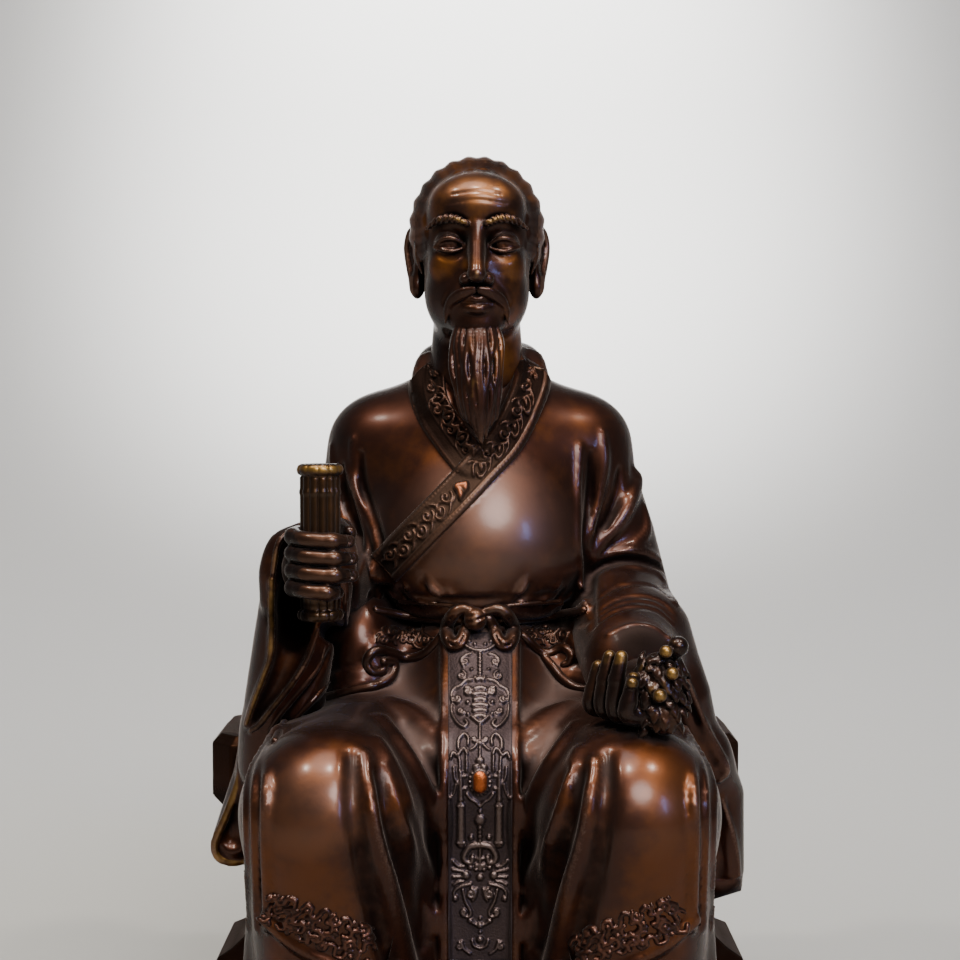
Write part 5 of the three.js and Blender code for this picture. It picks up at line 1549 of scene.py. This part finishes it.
# %% Where handling has worn the metal to bare brass
gold(upper.seen(OUTER_RIM), 2.6, 0.75)
gold(POUCH, 3.2)
gold(upper.seen(CUFF), 2.4, 0.6)
gold(upper.seen(INNER_RIM[:4]), 2.4, 0.55)
gold([[SCROLL["x"] + 6.8 * math.cos(a), SCROLL["y"] + 6.8 * math.sin(a), SCROLL["high"] - 1.4]
      for a in np.linspace(0, 2 * math.pi, 25)], 2.0)
for n in range(4):
    tx, ty, tz = fingertip(n)
    gold([[tx, ty, tz + 2.5], [tx - 0.6, ty - 0.4, tz - 0.5]], 5.0)
for u, v, w, radius in BUDS:
    if radius < 2.5:
        gold([[u, v - 1, w + 0.1], [u, v - 0.5, w]], radius * 3.4)
for side in SIDES:
    gold(on_side(side, (3.6, -25.2, 6.1), (7, -25.4, 7.3), (11.4, -23, 7)), 1.7, 0.75)
    gold(on_side(side, (0.8, -27.2, -14.2), (4.6, -26.2, -15.2)), 1.0, 0.45)
    gold([[side * x, -96, z] for x, z in HEM[:4]], 24, 0.25)
for x in (-5, -2.6, 0.2, 2.8, 5):
    gold([on_head(x, -28 + abs(x) * 0.25, -30), on_head(x * 0.8, -29 + abs(x) * 0.2, -38),
          on_head(x * 0.5 + 0.5, -29, -47)], 1.8, 0.8)
gold([on_head(0, -29.6, -9.4), on_head(0, -29.2, -10.6)], 1.9, 0.7)
print(len(gold_lines), "worn lines")

# %% The pieces of the figure
clay_piece("upper_robe", upper, robe_bronze, 1.2, 0.5)
clay_piece("lower_robe", skirt, robe_bronze, 1.2, 0.5)
clay_piece("knot_and_edges", trim, trim_bronze, 0.8, 0.0, 0.7)
clay_piece("sage_head", head, head_bronze, 0.6, 0.2)
clay_piece("fist", raised_hand, hand_bronze, 0.4, 0.1)
clay_piece("open_hand_with_herbs", resting_hand, hand_bronze, 0.4, 0.0)
finishes = {"apron": relief_bronze, "hem": hem_bronze}
for label, (rings, raised) in reliefs.items():
    relief_piece(label, rings, raised, finishes.get(label.split("_")[0], collar_bronze))
form_piece("bamboo_roll", roll, bamboo_bronze, 0.62)
form_piece("seat_slab", seat_slab, seat_bronze, 0.4)
form_piece("seat_block", seat_block, seat_bronze, 0.4)
form_piece("low_base", low_base, seat_bronze, 0.42)

# %% [markdown]
# ## Floor, light and camera
# A pale floor and wall, a soft light before the figure and a dim one over it. Three small lamps in a row
# give the bright spots on the knees, a narrow bluish one stands for a window at the side, and a spot washes
# the wall. The camera stands where the photograph's did.

# %% The floor and wall
FLOOR_FRONT, WALL_BACK, WALL_HEIGHT, WALL_HALF, BEND = -1500.0, 950.0, 2200.0, 1800, 450.0  # mm


def backdrop():
    """A floor that turns up into a wall behind: one profile drawn out sideways."""
    start = WALL_BACK - BEND
    turns = np.linspace(0, math.pi / 2, 13)[1:]
    bend = [(start + BEND * math.sin(a), BEND - BEND * math.cos(a)) for a in turns]
    profile = [(FLOOR_FRONT, 0.0), (start, 0.0)] + bend + [(WALL_BACK, WALL_HEIGHT)]
    xs = np.linspace(-WALL_HALF, WALL_HALF, 5)
    points = np.array([[x, y, z] for y, z in profile for x in xs])
    mesh = bpy.data.meshes.new("backdrop")
    mesh.from_pydata((points * MM).tolist(), [], grid_faces(len(profile), len(xs)).tolist())
    mesh.polygons.foreach_set("use_smooth", np.ones(len(mesh.polygons), bool))
    material = bpy.data.materials.new("pale_wall")
    material.use_nodes = True
    tree = material.node_tree
    shader = tree.nodes["Principled BSDF"]
    shader.inputs["Roughness"].default_value = 0.85
    apart = node(tree, "ShaderNodeSeparateXYZ", {0: node(tree, "ShaderNodeTexCoord").outputs["Object"]})
    # The floor is painted darker towards the front: painted shade, so that the metal reflects less light from
    # below.
    colour = blend(tree, ramp(tree, apart.outputs[1], -0.15, 0.6), "#98968f", "#c9c8c5")
    tree.links.new(colour, shader.inputs["Base Color"])
    mesh.materials.append(material)
    placed("backdrop", mesh)


backdrop()

# %% The lights
def aimed(light, place, target):
    """Stands a lamp at a place and turns it to a target."""
    obj = placed(light.name, light)
    obj.location = place
    obj.rotation_euler = (Vector(target) - Vector(place)).to_track_quat("-Z", "Y").to_euler()


def lamp(name, place, target, size, watts, code="#ffffff", tall=None):
    """A round lamp, or an upright one if it is given how tall it is."""
    light = bpy.data.lights.new(name, "AREA")
    light.shape, light.size, light.size_y = "RECTANGLE" if tall else "DISK", size, tall or size
    light.energy, light.color = watts, linear(code)[:3]
    aimed(light, place, target)


lamp("soft_front", (0.24, -0.84, 0.72), (0, 0, 0.15), 0.46, 10.5)
lamp("soft_overhead", (-0.1, -0.30, 1.3), (0, 0, 0.15), 0.7, 8)
for label, side in (("lamp_left", -1), ("lamp_middle", 0), ("lamp_right", 1)):
    lamp(label, (side * 0.46 - 0.02, -0.40 + 0.09 * abs(side), 1.02), (0, 0, 0.1), 0.06, 4.2, "#fff6ea")
lamp("window_side", (0.74, -0.83, 0.46), (0, 0, 0.17), 0.06, 3, "#86a8ff", 0.3)
wash = bpy.data.lights.new("wall_wash", "SPOT")
wash.energy, wash.spot_size, wash.spot_blend, wash.shadow_soft_size = 410, math.radians(38), 1.0, 0.1
aimed(wash, (0, 0.15, 1.35), (0, 0.95, 0.5))

world = bpy.data.worlds.new("room")
world.use_nodes = True
background = world.node_tree.nodes["Background"]
background.inputs[0].default_value = linear("#dfe1e6")
background.inputs[1].default_value = 0.2
bpy.context.scene.world = world

# %% The camera
FOCAL, HALF_PICTURE, DOWN = 1800, 480, 2.54  # pixels, pixels and degrees

camera = bpy.data.cameras.new("camera")
camera.angle = 2 * math.atan(HALF_PICTURE / FOCAL)
stand = placed("camera", camera)
stand.location = (EYE + ORIGIN) * MM
stand.rotation_euler = (math.radians(90 - DOWN), 0, 0)
bpy.context.scene.camera = stand
